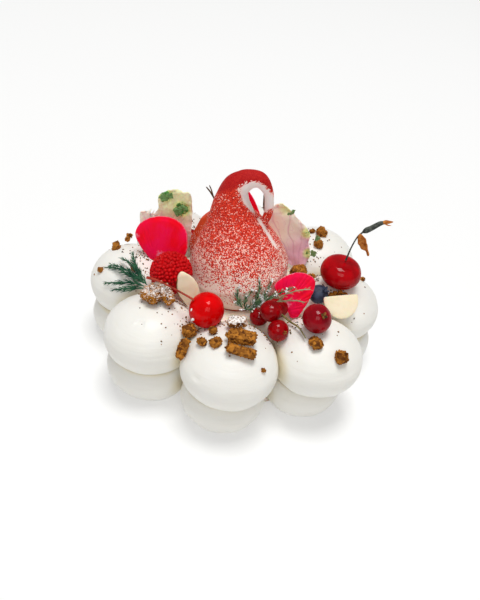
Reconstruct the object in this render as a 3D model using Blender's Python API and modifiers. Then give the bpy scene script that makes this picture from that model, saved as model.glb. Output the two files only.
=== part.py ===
"""A pavlova of piped meringue and cream, decorated with a sprayed swirl, fruit, petals and crumbs.

Two rings of squat piped balls stand round a cream core. A tall swirl with a hooked tip, sprayed
red, stands in the middle. Berries, cherries, rose petals, kale, almonds and oat biscuit lie in
the well between the swirl and the balls.

Every size below is in millimetres. The frame has +Z up, with the front of the cake towards -Y,
and its origin at the middle of the flat underside.
"""
import math
import random

import bmesh
import bpy
from mathutils import Euler, Vector

MM = 0.001                    # metres in a millimetre
GAP = 0.3                     # clearance left between pieces that touch
WELD = 0.00002                # merge distance for modifiers, in metres

# The two rings of piped balls, named round the ring from the front
COMPASS = ("front", "front_right", "right", "back_right",
           "back", "back_left", "left", "front_left")
SEAM_HEIGHT = 19.3            # where an upper ball sits on a lower one
BALL_SEGMENTS = 14
BALL_RINGS = 8

UPPER_RING = 51.0             # radius of the circle through the upper balls' centres
UPPER_HEIGHT = 29.6           # height of their centres
UPPER_SQUASH = 0.75           # a ball's height over its width
UPPER_RADII = (21.6, 20.7, 19.5, 20.6, 21.0, 20.4, 20.9, 21.2)
UPPER_SHIFTS = (-0.8, 2.0, -2.5, 0.6, -0.6, 0.8, 0.3, 0.4)

LOWER_RING = 49.6
LOWER_HEIGHT = 10.5
LOWER_SQUASH = 0.77
LOWER_RADII = (18.8, 18.0, 18.9, 19.0, 19.4, 19.6, 20.2, 19.9)
LOWER_OFFSET = -1.4           # the lower ring was piped a little to the left

# The cream that fills the ring, with the well's floor on top
CORE_RADIUS = 45.0
CORE_TOP = 35.0
CORE_PROFILE = ((0.0, CORE_TOP), (27.0, CORE_TOP), (39.0, 33.0), (CORE_RADIUS, 28.0),
                (CORE_RADIUS, 0.0), (0.0, 0.0))
CORE_STEPS = 32

# The swirl's centre line, as x, height and radius, from its round foot to the tip of the hook
SWIRL_DEPTH = 0.5             # the centre line lies in this y plane
SWIRL_BODY = ((-2.6, 47.0, 23.8), (-4.8, 57.0, 19.6), (-6.3, 65.5, 14.8), (-7.8, 74.0, 10.3),
              (-8.4, 81.0, 7.8), (-7.4, 87.5, 6.0), (-3.4, 91.6, 4.7))
SWIRL_HOOK = ((-7.6, 86.6, 5.6), (-3.4, 91.6, 4.7), (2.4, 92.3, 3.6), (6.8, 87.2, 2.4),
              (8.2, 80.0, 2.0), (8.0, 75.4, 1.9), (6.6, 71.2, 1.8))
SWIRL_SEGMENTS = 18
SWIRL_STEPS_PER_SPAN = 2
FOLD_THICKNESS = 1.5          # how far the fold behind the swirl stands out
FOLD_TOP = 69.0
FOLD_FOOT = 47.0              # where it dies away into the round foot
FOLD_START = math.radians(66.0)    # round from the front, to the right
FOLD_END = math.radians(262.0)

SHEET_DIVISIONS = 7
PETAL_THICKNESS = 0.8
LEAF_THICKNESS = 0.9


def srgb(hex_colour):
    """Turn an sRGB hex colour into linear red, green, blue and alpha."""
    channels = [int(hex_colour[i:i + 2], 16) / 255 for i in (0, 2, 4)]
    linear = [c / 12.92 if c <= 0.04045 else ((c + 0.055) / 1.055) ** 2.4 for c in channels]
    return (*linear, 1.0)


def finish(name, hex_colour, roughness):
    """Make a plain material."""
    material = bpy.data.materials.new(name)
    material.use_nodes = True
    shader = material.node_tree.nodes["Principled BSDF"]
    shader.inputs["Base Color"].default_value = srgb(hex_colour)
    shader.inputs["Roughness"].default_value = roughness
    shader.inputs["Metallic"].default_value = 0.0
    return material


def empty_scene():
    """Remove what the scene starts with, and make the two collections."""
    for obj in list(bpy.data.objects):
        bpy.data.objects.remove(obj, do_unlink=True)
    collections = []
    for name in ("pavlova", "cutters"):
        collection = bpy.data.collections.new(name)
        bpy.context.scene.collection.children.link(collection)
        collections.append(collection)
    return collections


PARTS, CUTTERS = empty_scene()
MERINGUE = finish("meringue", "F4F2EC", 0.6)
CREAM = finish("cream", "EFE3D0", 0.5)
SPRAY = finish("sprayed_cream", "C22B2A", 0.8)
CHERRY = finish("cherry_skin", "C00A10", 0.15)
CURRANT = finish("currant_skin", "8E0612", 0.15)
CRANBERRY = finish("cranberry_skin", "9A0C22", 0.2)
BLUEBERRY = finish("blueberry_skin", "2A2F45", 0.5)
RASPBERRY = finish("raspberry", "A8060F", 0.6)
PETAL = finish("rose_petal", "E6003C", 0.5)
KALE = finish("kale", "D9C2B4", 0.6)
ALMOND = finish("almond", "E6D8BC", 0.5)
BISCUIT = finish("oat_biscuit", "8A5620", 0.9)
STEM = finish("stem", "6A4A30", 0.7)


def place(obj, centre, turn=(0, 0, 0)):
    """Put an object at a point in millimetres, turned by degrees about X, then Y, then Z."""
    obj.location = Vector(centre) * MM
    obj.rotation_euler = Euler([math.radians(angle) for angle in turn])
    return obj


def add_piece(name, shape, material, collection=PARTS):
    """Turn a bmesh that was made in millimetres into an object."""
    bmesh.ops.scale(shape, vec=(MM, MM, MM), verts=shape.verts)
    mesh = bpy.data.meshes.new(name)
    shape.to_mesh(mesh)
    shape.free()
    mesh.materials.append(material)
    mesh.shade_smooth()
    obj = bpy.data.objects.new(name, mesh)
    collection.objects.link(obj)
    return obj


def cut(obj, cutter):
    """Take a cutter away from an object."""
    modifier = obj.modifiers.new("cut_" + cutter.name, "BOOLEAN")
    modifier.operation = "DIFFERENCE"
    modifier.solver = "EXACT"
    modifier.object = cutter
    cutter.hide_render = True
    cutter.display_type = "WIRE"


# Rings of piped balls

def ring_centres(radius, height, shifts, offset=0.0):
    """Centres of the balls, spaced evenly from the front and anticlockwise from above."""
    centres = []
    for index, shift in enumerate(shifts):
        angle = 2 * math.pi * index / len(shifts)
        reach = radius + shift
        centres.append(Vector((offset + reach * math.sin(angle), -reach * math.cos(angle), height)))
    return centres


def contact_walls(centres, radii, index):
    """The upright planes where a ball is squashed flat by the ball on each side of it."""
    walls = []
    for step in (-1, 1):
        other = (index + step) % len(centres)
        towards = centres[other] - centres[index]
        spacing = towards.length
        reach = (spacing ** 2 + radii[index] ** 2 - radii[other] ** 2) / (2 * spacing)
        walls.append((towards.normalized(), reach - GAP / 2))
    return walls


def ball_shape(radius, squash):
    """A squat ball round its own centre."""
    shape = bmesh.new()
    bmesh.ops.create_uvsphere(shape, u_segments=BALL_SEGMENTS, v_segments=BALL_RINGS, radius=radius)
    bmesh.ops.scale(shape, vec=(1, 1, squash), verts=shape.verts)
    return shape


def piped_ball(name, centre, radius, squash, floor, ceiling, walls):
    """A piped ball, flat where it rests, where it carries another and where it meets the next."""
    shape = ball_shape(radius, squash)
    for vert in shape.verts:
        for direction, reach in walls:
            beyond = vert.co.dot(direction) - reach
            if beyond > 0:
                vert.co -= direction * beyond
        vert.co.z = min(max(vert.co.z, floor - centre.z), ceiling - centre.z)
    return place(add_piece(name, shape, MERINGUE), centre)


def ball_cutter(name, centre, radius, squash):
    """The room that a ball takes up in the core, a gap larger than the ball."""
    shape = ball_shape(radius + GAP / squash, squash)
    return place(add_piece(name, shape, MERINGUE, CUTTERS), centre)


def ball_ring(level, centres, radii, squash, floor, ceiling):
    """One ring of balls, and the cutters that give them room in the core."""
    cutters = []
    for index, side in enumerate(COMPASS):
        walls = contact_walls(centres, radii, index)
        piped_ball(f"{level}_meringue_{side}", centres[index], radii[index], squash,
                   floor, ceiling, walls)
        cutters.append(ball_cutter(f"room_{level}_{side}", centres[index], radii[index], squash))
    return cutters


def cream_core(cutters):
    """The filling inside the ring: a turned profile, hollowed where the balls press into it."""
    mesh = bpy.data.meshes.new("cream_core")
    points = [(x * MM, 0.0, z * MM) for x, z in CORE_PROFILE]
    mesh.from_pydata(points, [(i, i + 1) for i in range(len(points) - 1)], [])
    mesh.materials.append(CREAM)
    core = bpy.data.objects.new("cream_core", mesh)
    PARTS.objects.link(core)
    turn = core.modifiers.new("turned", "SCREW")
    turn.steps = CORE_STEPS
    turn.render_steps = CORE_STEPS
    turn.use_merge_vertices = True
    turn.merge_threshold = WELD
    for cutter in cutters:
        cut(core, cutter)
    return core


# The sprayed swirl

def spline(stations, steps):
    """Smooth points through the stations of a centre line, steps to each span (Catmull-Rom)."""
    ends = [2 * stations[0] - stations[1]], [2 * stations[-1] - stations[-2]]
    chain = ends[0] + stations + ends[1]
    points = []
    for i in range(1, len(chain) - 2):
        before, start, end, after = chain[i - 1:i + 3]
        for step in range(steps):
            t = step / steps
            points.append(0.5 * (2 * start + (end - before) * t
                                 + (2 * before - 5 * start + 4 * end - after) * t ** 2
                                 + (3 * start - before - 3 * end + after) * t ** 3))
    points.append(stations[-1])
    return points


def fold_height(angle, height):
    """How far the fold that wraps the swirl's back stands out at an angle round from the front."""
    angle = angle % (2 * math.pi)
    inside = min(angle - FOLD_START, FOLD_END - angle)
    side = min(max(inside / math.radians(12), 0.0), 1.0)
    top = min(max((FOLD_TOP - height) / 2.5, 0.0), 1.0)
    foot = min(max((height - FOLD_FOOT) / 9.0, 0.0), 1.0)
    return FOLD_THICKNESS * side * top * foot


def tube_rings(shape, stations, folded):
    """Rings of points across a centre line that lies in the XZ plane, of its radius."""
    line = spline([Vector(station) for station in stations], SWIRL_STEPS_PER_SPAN)
    rings = []
    for i, here in enumerate(line):
        along = line[min(i + 1, len(line) - 1)] - line[max(i - 1, 0)]
        run = math.hypot(along.x, along.y)
        across = Vector((along.y, 0, -along.x)) / run
        middle = Vector((here.x, 0, here.y))
        ring = []
        for k in range(SWIRL_SEGMENTS):
            angle = 2 * math.pi * k / SWIRL_SEGMENTS
            reach = here.z + (fold_height(angle, middle.z) if folded else 0.0)
            offset = across * math.sin(angle) + Vector((0, -math.cos(angle), 0))
            ring.append(shape.verts.new(middle + offset * reach))
        rings.append(ring)
    return rings


def skin(shape, rings):
    """Join rings of points into a closed skin with flat ends."""
    for low, high in zip(rings, rings[1:]):
        for k in range(len(low)):
            following = (k + 1) % len(low)
            shape.faces.new((low[k], low[following], high[following], high[k]))
    shape.faces.new(reversed(rings[0]))
    shape.faces.new(rings[-1])
    bmesh.ops.recalc_face_normals(shape, faces=shape.faces)


def swirl_foot(shape):
    """Rings of the round foot, from the well's floor up to the first station's level."""
    x, height, radius = SWIRL_BODY[0]
    floor = CORE_TOP + GAP
    rings = []
    for level in (floor, floor + 4.0, floor + 8.0):
        reach = math.sqrt(radius ** 2 - (height - level) ** 2)
        ring = []
        for k in range(SWIRL_SEGMENTS):
            angle = 2 * math.pi * k / SWIRL_SEGMENTS
            ring.append(shape.verts.new((x + reach * math.sin(angle),
                                         -reach * math.cos(angle), level)))
        rings.append(ring)
    return rings


def centre_swirl():
    """A tall drop with a round foot and a thin tip that curls over and down to touch its side."""
    body_shape = bmesh.new()
    skin(body_shape, swirl_foot(body_shape) + tube_rings(body_shape, SWIRL_BODY, True))
    body = place(add_piece("centre_swirl", body_shape, SPRAY), (0, SWIRL_DEPTH, 0))
    hook_shape = bmesh.new()
    skin(hook_shape, tube_rings(hook_shape, SWIRL_HOOK, False))
    hook = place(add_piece("swirl_hook", hook_shape, SPRAY, CUTTERS), (0, SWIRL_DEPTH, 0))
    join = body.modifiers.new("join_hook", "BOOLEAN")
    join.operation = "UNION"
    join.solver = "EXACT"
    join.object = hook
    hook.hide_render = True
    hook.display_type = "WIRE"
    return body


# Fruit

def round_fruit(name, centre, radius, material, segments=14, height=1.0, dimple=0.0, turn=(0, 0, 0)):
    """A berry or a cherry, with a dimple at the end where its stem grows."""
    shape = bmesh.new()
    bmesh.ops.create_uvsphere(shape, u_segments=segments, v_segments=segments // 2 + 1,
                              radius=radius)
    for vert in shape.verts:
        from_stem = vert.co.angle(Vector((0, 0, 1)))
        sink = dimple * math.exp(-(from_stem / 0.5) ** 2)
        vert.co *= 1 - sink
        vert.co.z *= height
    return place(add_piece(name, shape, material), centre, turn)


def drupe_fruit(name, centre, radius, turn=(0, 0, 0)):
    """A raspberry: a blunt cone of small round drupelets."""
    shape = bmesh.new()
    bmesh.ops.create_uvsphere(shape, u_segments=16, v_segments=8, radius=1.0)
    for vert in shape.verts:
        azimuth = math.atan2(vert.co.y, vert.co.x)
        level = math.asin(max(-1.0, min(1.0, vert.co.z)))
        bump = 1 + 0.04 * math.cos(8 * azimuth) * math.cos(8 * level)
        vert.co *= radius * bump
        vert.co.z *= 1.06
    return place(add_piece(name, shape, RASPBERRY), centre, turn)


def stem(name, points, radii, material=STEM):
    """A stem or a twig: a tube that tapers through its points."""
    curve = bpy.data.curves.new(name, "CURVE")
    curve.dimensions = "3D"
    curve.bevel_depth = MM
    curve.bevel_resolution = 1
    curve.use_fill_caps = True
    line = curve.splines.new("POLY")
    line.points.add(len(points) - 1)
    for point, place_mm, radius in zip(line.points, points, radii):
        point.co = (*(Vector(place_mm) * MM), 1.0)
        point.radius = radius
    curve.materials.append(material)
    obj = bpy.data.objects.new(name, curve)
    PARTS.objects.link(obj)
    return obj


# Petals, leaves and nuts

def rounded(across, along):
    """Spread a square grid, from -1 to 1 each way, over a round disc."""
    return (across * math.sqrt(1 - along ** 2 / 2), along * math.sqrt(1 - across ** 2 / 2))


def sheet(name, centre, turn, bend, thickness, material):
    """A thin sheet whose points come from bend, upright and facing -Y before it is turned."""
    shape = bmesh.new()
    bmesh.ops.create_grid(shape, x_segments=SHEET_DIVISIONS, y_segments=SHEET_DIVISIONS, size=1.0)
    for vert in shape.verts:
        vert.co = bend(*rounded(vert.co.x, vert.co.y))
    obj = place(add_piece(name, shape, material), centre, turn)
    wall = obj.modifiers.new("wall", "SOLIDIFY")
    wall.thickness = thickness * MM
    wall.offset = 0.0
    return obj


def rose_petal(name, centre, turn, width, height, pinch=0.45, cup=2.5):
    """A cupped petal, round at the top and drawn in towards its base."""
    def bend(across, along):
        rise = (along + 1) / 2
        reach = pinch + (1 - pinch) * math.sin(math.pi / 2 * min(rise * 1.5, 1))
        curl = 0.8 * max(rise - 0.75, 0) ** 2 * 8
        return (across * reach * width / 2, -cup * across ** 2 + curl, along * height / 2)
    return sheet(name, centre, turn, bend, PETAL_THICKNESS, PETAL)


def kale_leaf(name, centre, turn, width, height, lobes, ruffle):
    """A leaf with a wavy, lobed edge that stands up from the cream."""
    def bend(across, along):
        edge = math.hypot(across, along)
        angle = math.atan2(across, along)
        lobe = 1 + 0.06 * edge ** 3 * math.sin(lobes * angle)
        wave = ruffle * edge ** 4 * math.sin((lobes + 2) * angle + 0.6)
        taper = 0.72 + 0.28 * math.cos(1.2 * along - 0.35)
        return (across * taper * lobe * width / 2, wave - 0.8 * across ** 2, along * lobe * height / 2)
    return sheet(name, centre, turn, bend, LEAF_THICKNESS, KALE)


def almond(name, centre, turn, width, height, thickness):
    """A slice of almond: a flat drop with a blunt point at the top."""
    shape = bmesh.new()
    bmesh.ops.create_uvsphere(shape, u_segments=12, v_segments=6, radius=1.0)
    for vert in shape.verts:
        point = vert.co.z
        narrow = 1 - 0.32 * max(point, 0) ** 1.5
        vert.co.x *= narrow * width / 2
        vert.co.y *= thickness / 2
        vert.co.z *= height / 2
    return place(add_piece(name, shape, ALMOND), centre, turn)


def biscuit(name, centre, turn, size, seed, blockiness=0.45):
    """A broken lump of oat biscuit, between a ball and a box in shape."""
    shape = bmesh.new()
    bmesh.ops.create_icosphere(shape, subdivisions=2, radius=1.0)
    chance = random.Random(seed)
    for vert in shape.verts:
        box = max(abs(vert.co.x), abs(vert.co.y), abs(vert.co.z))
        stretch = (1 - blockiness) + blockiness / box * 0.8
        vert.co *= stretch * chance.uniform(0.9, 1.0)
        vert.co.x *= size[0] / 2
        vert.co.y *= size[1] / 2
        vert.co.z *= size[2] / 2
    return place(add_piece(name, shape, BISCUIT), centre, turn)


def build_rings():
    """The two rings of balls and the core between them."""
    upper = ring_centres(UPPER_RING, UPPER_HEIGHT, UPPER_SHIFTS)
    lower = ring_centres(LOWER_RING, LOWER_HEIGHT, (0.0,) * len(COMPASS), LOWER_OFFSET)
    tall = UPPER_HEIGHT * 2
    cutters = ball_ring("lower", lower, LOWER_RADII, LOWER_SQUASH, 0.0, SEAM_HEIGHT - GAP / 2)
    cutters += ball_ring("upper", upper, UPPER_RADII, UPPER_SQUASH, SEAM_HEIGHT + GAP / 2, tall)
    cream_core(cutters)


def build_cherries():
    """A bright cherry at the front, one with a dried stalk at the right, and one at the back."""
    round_fruit("cherry_front", (-12.9, -37.2, 47.7), 7.3, CHERRY, 14, 0.96, 0.06, (20, -50, 0))
    stem("cherry_front_stem", ((-19.5, -37.6, 53.2), (-25.0, -35.3, 54.2), (-30.5, -32.8, 54.8),
                               (-35.6, -30.4, 54.9), (-40.4, -28.2, 54.0)), (0.5, 0.45, 0.45, 0.5, 0.7))
    round_fruit("cherry_right", (45.2, -3.6, 52.9), 9.3, CHERRY, 16, 0.86, 0.13, (0, 6, 0))
    stem("cherry_right_stem", ((46.4, -3.4, 60.6), (47.3, -3.2, 66.5), (48.9, -3.1, 72.5),
                               (51.0, -3.0, 75.6)), (0.4, 0.35, 0.35, 0.4))
    stem("cherry_right_stalk", ((51.9, -2.9, 76.2), (54.0, -2.6, 77.6), (57.0, -2.4, 80.2),
                                (60.2, -2.2, 81.6)), (1.4, 1.3, 1.1, 0.5))
    sheet("cherry_right_bract", (53.6, -4.0, 69.2), (0, -24, -20), dried_bract, 0.7, STEM)
    round_fruit("cherry_back", (11.6, 34.4, 47.0), 7.0, CHERRY, 14, 0.94, 0.08, (-10, -6, 0))
    stem("cherry_back_stem", ((10.6, 32.8, 54.2), (8.0, 28.6, 58.4), (6.4, 25.0, 64.4),
                              (5.9, 22.5, 71.0), (5.7, 21.0, 77.0)), (0.5, 0.45, 0.45, 0.5, 0.6))


def dried_bract(across, along):
    """The brown curl of dried leaf below the stalk."""
    hook = 2.2 * (along - 0.1) ** 2
    return (across * 1.7 * (1.15 - 0.35 * along ** 2) + hook, 0.5 * across ** 2, along * 5.2)


def build_berries():
    """Currants, a cranberry, a blueberry and two raspberries."""
    for name, centre, radius in (("left", (10.2, -28.1, 40.2), 4.0),
                                 ("top", (14.8, -31.7, 47.3), 4.6),
                                 ("bottom", (18.8, -39.4, 43.4), 4.4),
                                 ("right", (18.3, -20.2, 40.2), 4.4)):
        round_fruit("currant_" + name, centre, radius, CURRANT, 10)
    for name, centre, radius in (("low", (-19.0, 26.8, 40.4), 4.4), ("high", (-27.6, 21.4, 43.4), 4.3)):
        round_fruit("currant_back_" + name, centre, radius, CURRANT, 10)
    stem("currant_stem", ((21.0, -26.0, 40.6), (23.9, -31.6, 42.6), (27.4, -38.2, 45.5),
                          (30.4, -44.2, 45.4)), (0.55, 0.5, 0.4, 0.25))
    round_fruit("cranberry", (34.3, -37.9, 51.6), 6.4, CRANBERRY, 14, 0.97, 0.05, (0, 50, 0))
    round_fruit("blueberry", (36.3, -11.3, 44.2), 4.6, BLUEBERRY, 12, 0.9, 0.08, (20, 0, 0))
    drupe_fruit("raspberry_left", (-31.4, -16.6, 50.0), 8.7, (-15, 10, 0))
    drupe_fruit("raspberry_back", (-5.4, 34.6, 49.2), 6.6, (10, -15, 0))


def build_petals_and_leaves():
    """Rose petals and kale that stand in the well round the swirl."""
    rose_petal("rose_petal_left", (-38.4, -0.2, 55.2), (-18, 3, -10), 24.0, 26.5, 0.5)
    rose_petal("rose_petal_right", (27.2, -16.6, 47.0), (-24, 4, 8), 19.0, 19.5, 0.25, 1.8)
    rose_petal("rose_petal_back", (-6.5, 27.6, 57.4), (12, 6, 180), 25.0, 37.0, 0.5, 2.0)
    kale_leaf("kale_leaf_left", (-36.2, 9.4, 59.4), (-4, 4, -8), 18.0, 35.0, 5, 1.6)
    kale_leaf("kale_leaf_right", (24.4, 19.2, 55.6), (-4, -12, 10), 22.0, 38.0, 6, 1.6)


def build_almonds():
    """Slices of almond: two at the front and one at the back."""
    almond("almond_left", (-22.9, -26.6, 49.6), (-14, -20, 20), 9.6, 17.0, 2.0)
    almond("almond_right", (46.9, -19.2, 44.7), (-38, 58, 24), 9.0, 15.0, 2.0)
    almond("almond_back", (-37.6, 33.4, 46.6), (96, 0, 40), 9.4, 15.0, 2.0)


def build_biscuit():
    """The larger broken lumps of oat biscuit."""
    for name, centre, turn, size in (
            ("block_high", (3.4, -52.4, 48.6), (14, 3, 2), (14.4, 6.4, 5.6)),
            ("block_low", (3.8, -58.9, 46.9), (30, 6, -2), (14.6, 6.0, 5.4)),
            ("dusted", (0.6, -43.6, 48.6), (0, 0, 8), (9.6, 6.0, 5.2)),
            ("cluster_left", (-34.6, -32.8, 49.0), (4, 4, 16), (14.0, 9.6, 7.4)),
            ("cluster_right", (46.4, -11.2, 44.1), (0, 6, 8), (10.4, 5.2, 5.0)),
            ("behind_petal", (27.6, 11.2, 38.8), (0, 0, 20), (9.6, 7.0, 6.6)),
            ("crease_round", (-19.0, -45.4, 42.0), (0, 0, 30), (6.6, 6.4, 6.2)),
            ("crease_long", (-20.4, -54.2, 39.6), (52, 8, -14), (4.8, 10.4, 4.8)),
            ("back", (14.8, 47.6, 44.0), (-10, 6, 40), (10.0, 8.0, 6.0))):
        biscuit("biscuit_" + name, centre, turn, size, seed=len(name))


build_rings()
centre_swirl()
build_cherries()
build_berries()
build_petals_and_leaves()
build_almonds()
build_biscuit()
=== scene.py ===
"""The looks of a piped pavlova: a red-sprayed swirl, fruit, petals, kale, almonds and oat biscuit.

Sizes are in millimetres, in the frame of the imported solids: +Z up and the cake's front at -Y.
"""
import math
import random

import bpy
import numpy as np
from mathutils import Euler, Matrix, Vector, noise


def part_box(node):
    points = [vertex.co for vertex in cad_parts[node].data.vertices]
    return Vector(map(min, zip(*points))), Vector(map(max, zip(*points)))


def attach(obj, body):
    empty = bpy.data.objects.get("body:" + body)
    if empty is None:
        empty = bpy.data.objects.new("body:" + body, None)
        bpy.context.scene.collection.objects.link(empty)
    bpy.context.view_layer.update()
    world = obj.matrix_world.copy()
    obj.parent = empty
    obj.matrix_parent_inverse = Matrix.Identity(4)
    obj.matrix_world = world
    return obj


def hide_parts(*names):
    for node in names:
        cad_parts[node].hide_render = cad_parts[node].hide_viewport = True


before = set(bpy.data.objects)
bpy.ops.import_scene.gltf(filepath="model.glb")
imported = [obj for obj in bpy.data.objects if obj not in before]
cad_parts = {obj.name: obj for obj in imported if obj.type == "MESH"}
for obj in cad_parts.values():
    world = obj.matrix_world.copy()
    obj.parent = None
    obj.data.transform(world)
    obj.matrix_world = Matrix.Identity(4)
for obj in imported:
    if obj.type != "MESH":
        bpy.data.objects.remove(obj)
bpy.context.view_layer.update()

MM = 0.001
SCENE = bpy.context.scene

# The two rings of piped balls, named round the ring from the front
COMPASS = ("front", "front_right", "right", "back_right",
           "back", "back_left", "left", "front_left")
SEAM_HEIGHT = 19.3            # where an upper ball sits on a lower one
GAP = 0.3                     # clearance left between pieces that touch
UPPER = {"ring": 51.0, "height": 29.6, "squash": 0.75, "offset": 0.0,
         "radii": (21.6, 20.7, 19.5, 20.6, 21.0, 20.4, 20.9, 21.2),
         "shifts": (-0.8, 2.0, -2.5, 0.6, -0.6, 0.8, 0.3, 0.4)}
LOWER = {"ring": 49.6, "height": 10.5, "squash": 0.77, "offset": -1.4,
         "radii": (18.8, 18.0, 18.9, 19.0, 19.4, 19.6, 20.2, 19.9),
         "shifts": (0.0,) * 8}

CORE_RADIUS = 45.0
CORE_TOP = 35.0

# The swirl's centre line, as x, height and radius, from its round foot to the tip of the hook
SWIRL_DEPTH = 0.5
SWIRL_BODY = ((-2.6, 47.0, 23.8), (-4.8, 57.0, 19.6), (-6.3, 65.5, 14.8), (-7.8, 74.0, 10.3),
              (-8.4, 81.0, 7.8), (-7.4, 87.5, 6.0), (-3.4, 91.6, 4.7))
SWIRL_HOOK = ((-7.6, 86.6, 5.6), (-3.4, 91.6, 4.7), (2.4, 92.3, 3.6), (6.8, 87.2, 2.4),
              (8.2, 80.0, 2.0), (8.0, 75.4, 1.9), (6.6, 71.2, 1.8))
HOOK_HOLE = (2.2, 82.0)       # x and height of the middle of the hook's loop


def srgb(hex_colour):
    """Turn an sRGB hex colour into linear red, green, blue and alpha."""
    channels = [int(hex_colour[i:i + 2], 16) / 255 for i in (0, 2, 4)]
    linear = [c / 12.92 if c <= 0.04045 else ((c + 0.055) / 1.055) ** 2.4 for c in channels]
    return (*linear, 1.0)


def add(tree, kind, inputs=None, **settings):
    """Add a node: inputs holds, for an input's name or number, a value, a socket or a list of them."""
    made = tree.nodes.new(kind)
    for key, value in settings.items():
        setattr(made, key, value)
    for key, value in (inputs or {}).items():
        for one in value if isinstance(value, list) else [value]:
            if isinstance(one, bpy.types.NodeSocket):
                tree.links.new(one, made.inputs[key])
            else:
                made.inputs[key].default_value = one
    return made


# Meshes

def smooth_step(values, start, end):
    """Rise smoothly from 0 at start to 1 at end."""
    part = np.clip((np.asarray(values, float) - start) / (end - start), 0, 1)
    return part * part * (3 - 2 * part)


def soft_limit(values, limit, width):
    """Keep values under a limit, with a rounded shoulder of the given width."""
    near = np.clip(width - np.abs(values - limit), 0, None) / width
    return np.minimum(values, limit) - near ** 2 * width / 4


def uneven(points, size, seed):
    """Smooth noise from -1 to 1 at each point, with lumps of about the given size."""
    start = Vector((seed * 7.3, seed * 3.1, seed * 5.7))
    return np.array([noise.noise(Vector(point) / size + start) for point in points])


def placed(points, centre, turn=(0, 0, 0)):
    """Turn points by degrees about X, then Y, then Z, and move them to a centre."""
    spin = np.array(Euler([math.radians(angle) for angle in turn]).to_matrix())
    return np.asarray(points, float) @ spin.T + np.array(centre, float)


def make_piece(name, points, faces, material, values=None):
    """A smooth mesh object from points in millimetres, with named values on its points."""
    mesh = bpy.data.meshes.new(name)
    mesh.from_pydata((np.asarray(points, float) * MM).tolist(), [], faces)
    mesh.materials.append(material)
    mesh.shade_smooth()
    for key, numbers in (values or {}).items():
        layer = mesh.attributes.new(key, "FLOAT", "POINT")
        layer.data.foreach_set("value", np.asarray(numbers, np.float32))
    obj = bpy.data.objects.new(name, mesh)
    SCENE.collection.objects.link(obj)
    return obj


def settle(obj):
    """Swap an object for the plain mesh that its modifiers or its curve make."""
    graph = bpy.context.evaluated_depsgraph_get()
    mesh = bpy.data.meshes.new_from_object(obj.evaluated_get(graph), depsgraph=graph)
    name = obj.name
    bpy.data.objects.remove(obj)
    made = bpy.data.objects.new(name, mesh)
    SCENE.collection.objects.link(made)
    return made


def points_of(obj):
    """An object's points in millimetres."""
    numbers = np.empty(len(obj.data.vertices) * 3, np.float32)
    obj.data.vertices.foreach_get("co", numbers)
    return numbers.reshape(-1, 3).astype(float) / MM


def normals_of(obj):
    """An object's directions outward at its points."""
    numbers = np.empty(len(obj.data.vertices) * 3, np.float32)
    obj.data.vertex_normals.foreach_get("vector", numbers)
    return numbers.reshape(-1, 3).astype(float)


def move_points(obj, points):
    """Put an object's points at new places in millimetres."""
    obj.data.vertices.foreach_set("co", (points * MM).astype(np.float32).ravel())
    obj.data.update()


def set_values(obj, **values):
    """Write named values on an object's points."""
    for key, numbers in values.items():
        layer = obj.data.attributes.get(key) or obj.data.attributes.new(key, "FLOAT", "POINT")
        layer.data.foreach_set("value", np.asarray(numbers, np.float32))


def joined(name, pieces):
    """Join several objects into one."""
    with bpy.context.temp_override(active_object=pieces[0], object=pieces[0],
                                   selected_editable_objects=pieces, selected_objects=pieces):
        bpy.ops.object.join()
    pieces[0].name = name
    return pieces[0]


def show(obj, slot, *nodes):
    """Make a piece part of the cake, in place of the named solids."""
    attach(obj, "root")
    if nodes:
        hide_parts(*nodes)
    return obj


def ring_faces(columns, rings, first=0, closed=True):
    """Faces between stacked rings of points that run anticlockwise from below to above."""
    faces = []
    for ring in range(rings - 1):
        low = first + ring * columns
        for k in range(columns if closed else columns - 1):
            right = (k + 1) % columns
            faces.append((low + k, low + right, low + columns + right, low + columns + k))
    return faces


def skin_faces(columns, rings):
    """Faces of a closed skin: a bottom point, stacked rings, then a top point."""
    faces = ring_faces(columns, rings, 1)
    last = 1 + (rings - 1) * columns
    for k in range(columns):
        right = (k + 1) % columns
        faces.append((0, 1 + right, 1 + k))
        faces.append((last + k, last + right, last + columns))
    return faces


def round_points(columns, rings):
    """Points of a ball of radius 1, from its bottom to its top."""
    rise = np.linspace(-np.pi / 2, np.pi / 2, rings + 2)[1:-1]
    turn = np.linspace(0, 2 * np.pi, columns, endpoint=False)
    grid = np.stack([np.outer(np.cos(rise), np.cos(turn)), np.outer(np.cos(rise), np.sin(turn)),
                     np.repeat(np.sin(rise)[:, None], columns, 1)], -1).reshape(-1, 3)
    return np.concatenate([[(0, 0, -1)], grid, [(0, 0, 1)]])


def spline(stations, steps):
    """Smooth points through stations, steps to each span (Catmull-Rom)."""
    stations = np.asarray(stations, float)
    chain = np.vstack([2 * stations[0] - stations[1], stations, 2 * stations[-1] - stations[-2]])
    points = []
    for i in range(1, len(chain) - 2):
        before, start, end, after = chain[i - 1:i + 3]
        for t in np.arange(steps) / steps:
            points.append(0.5 * (2 * start + (end - before) * t
                                 + (2 * before - 5 * start + 4 * end - after) * t ** 2
                                 + (3 * start - before - 3 * end + after) * t ** 3))
    return np.array(points + [stations[-1]])


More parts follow.
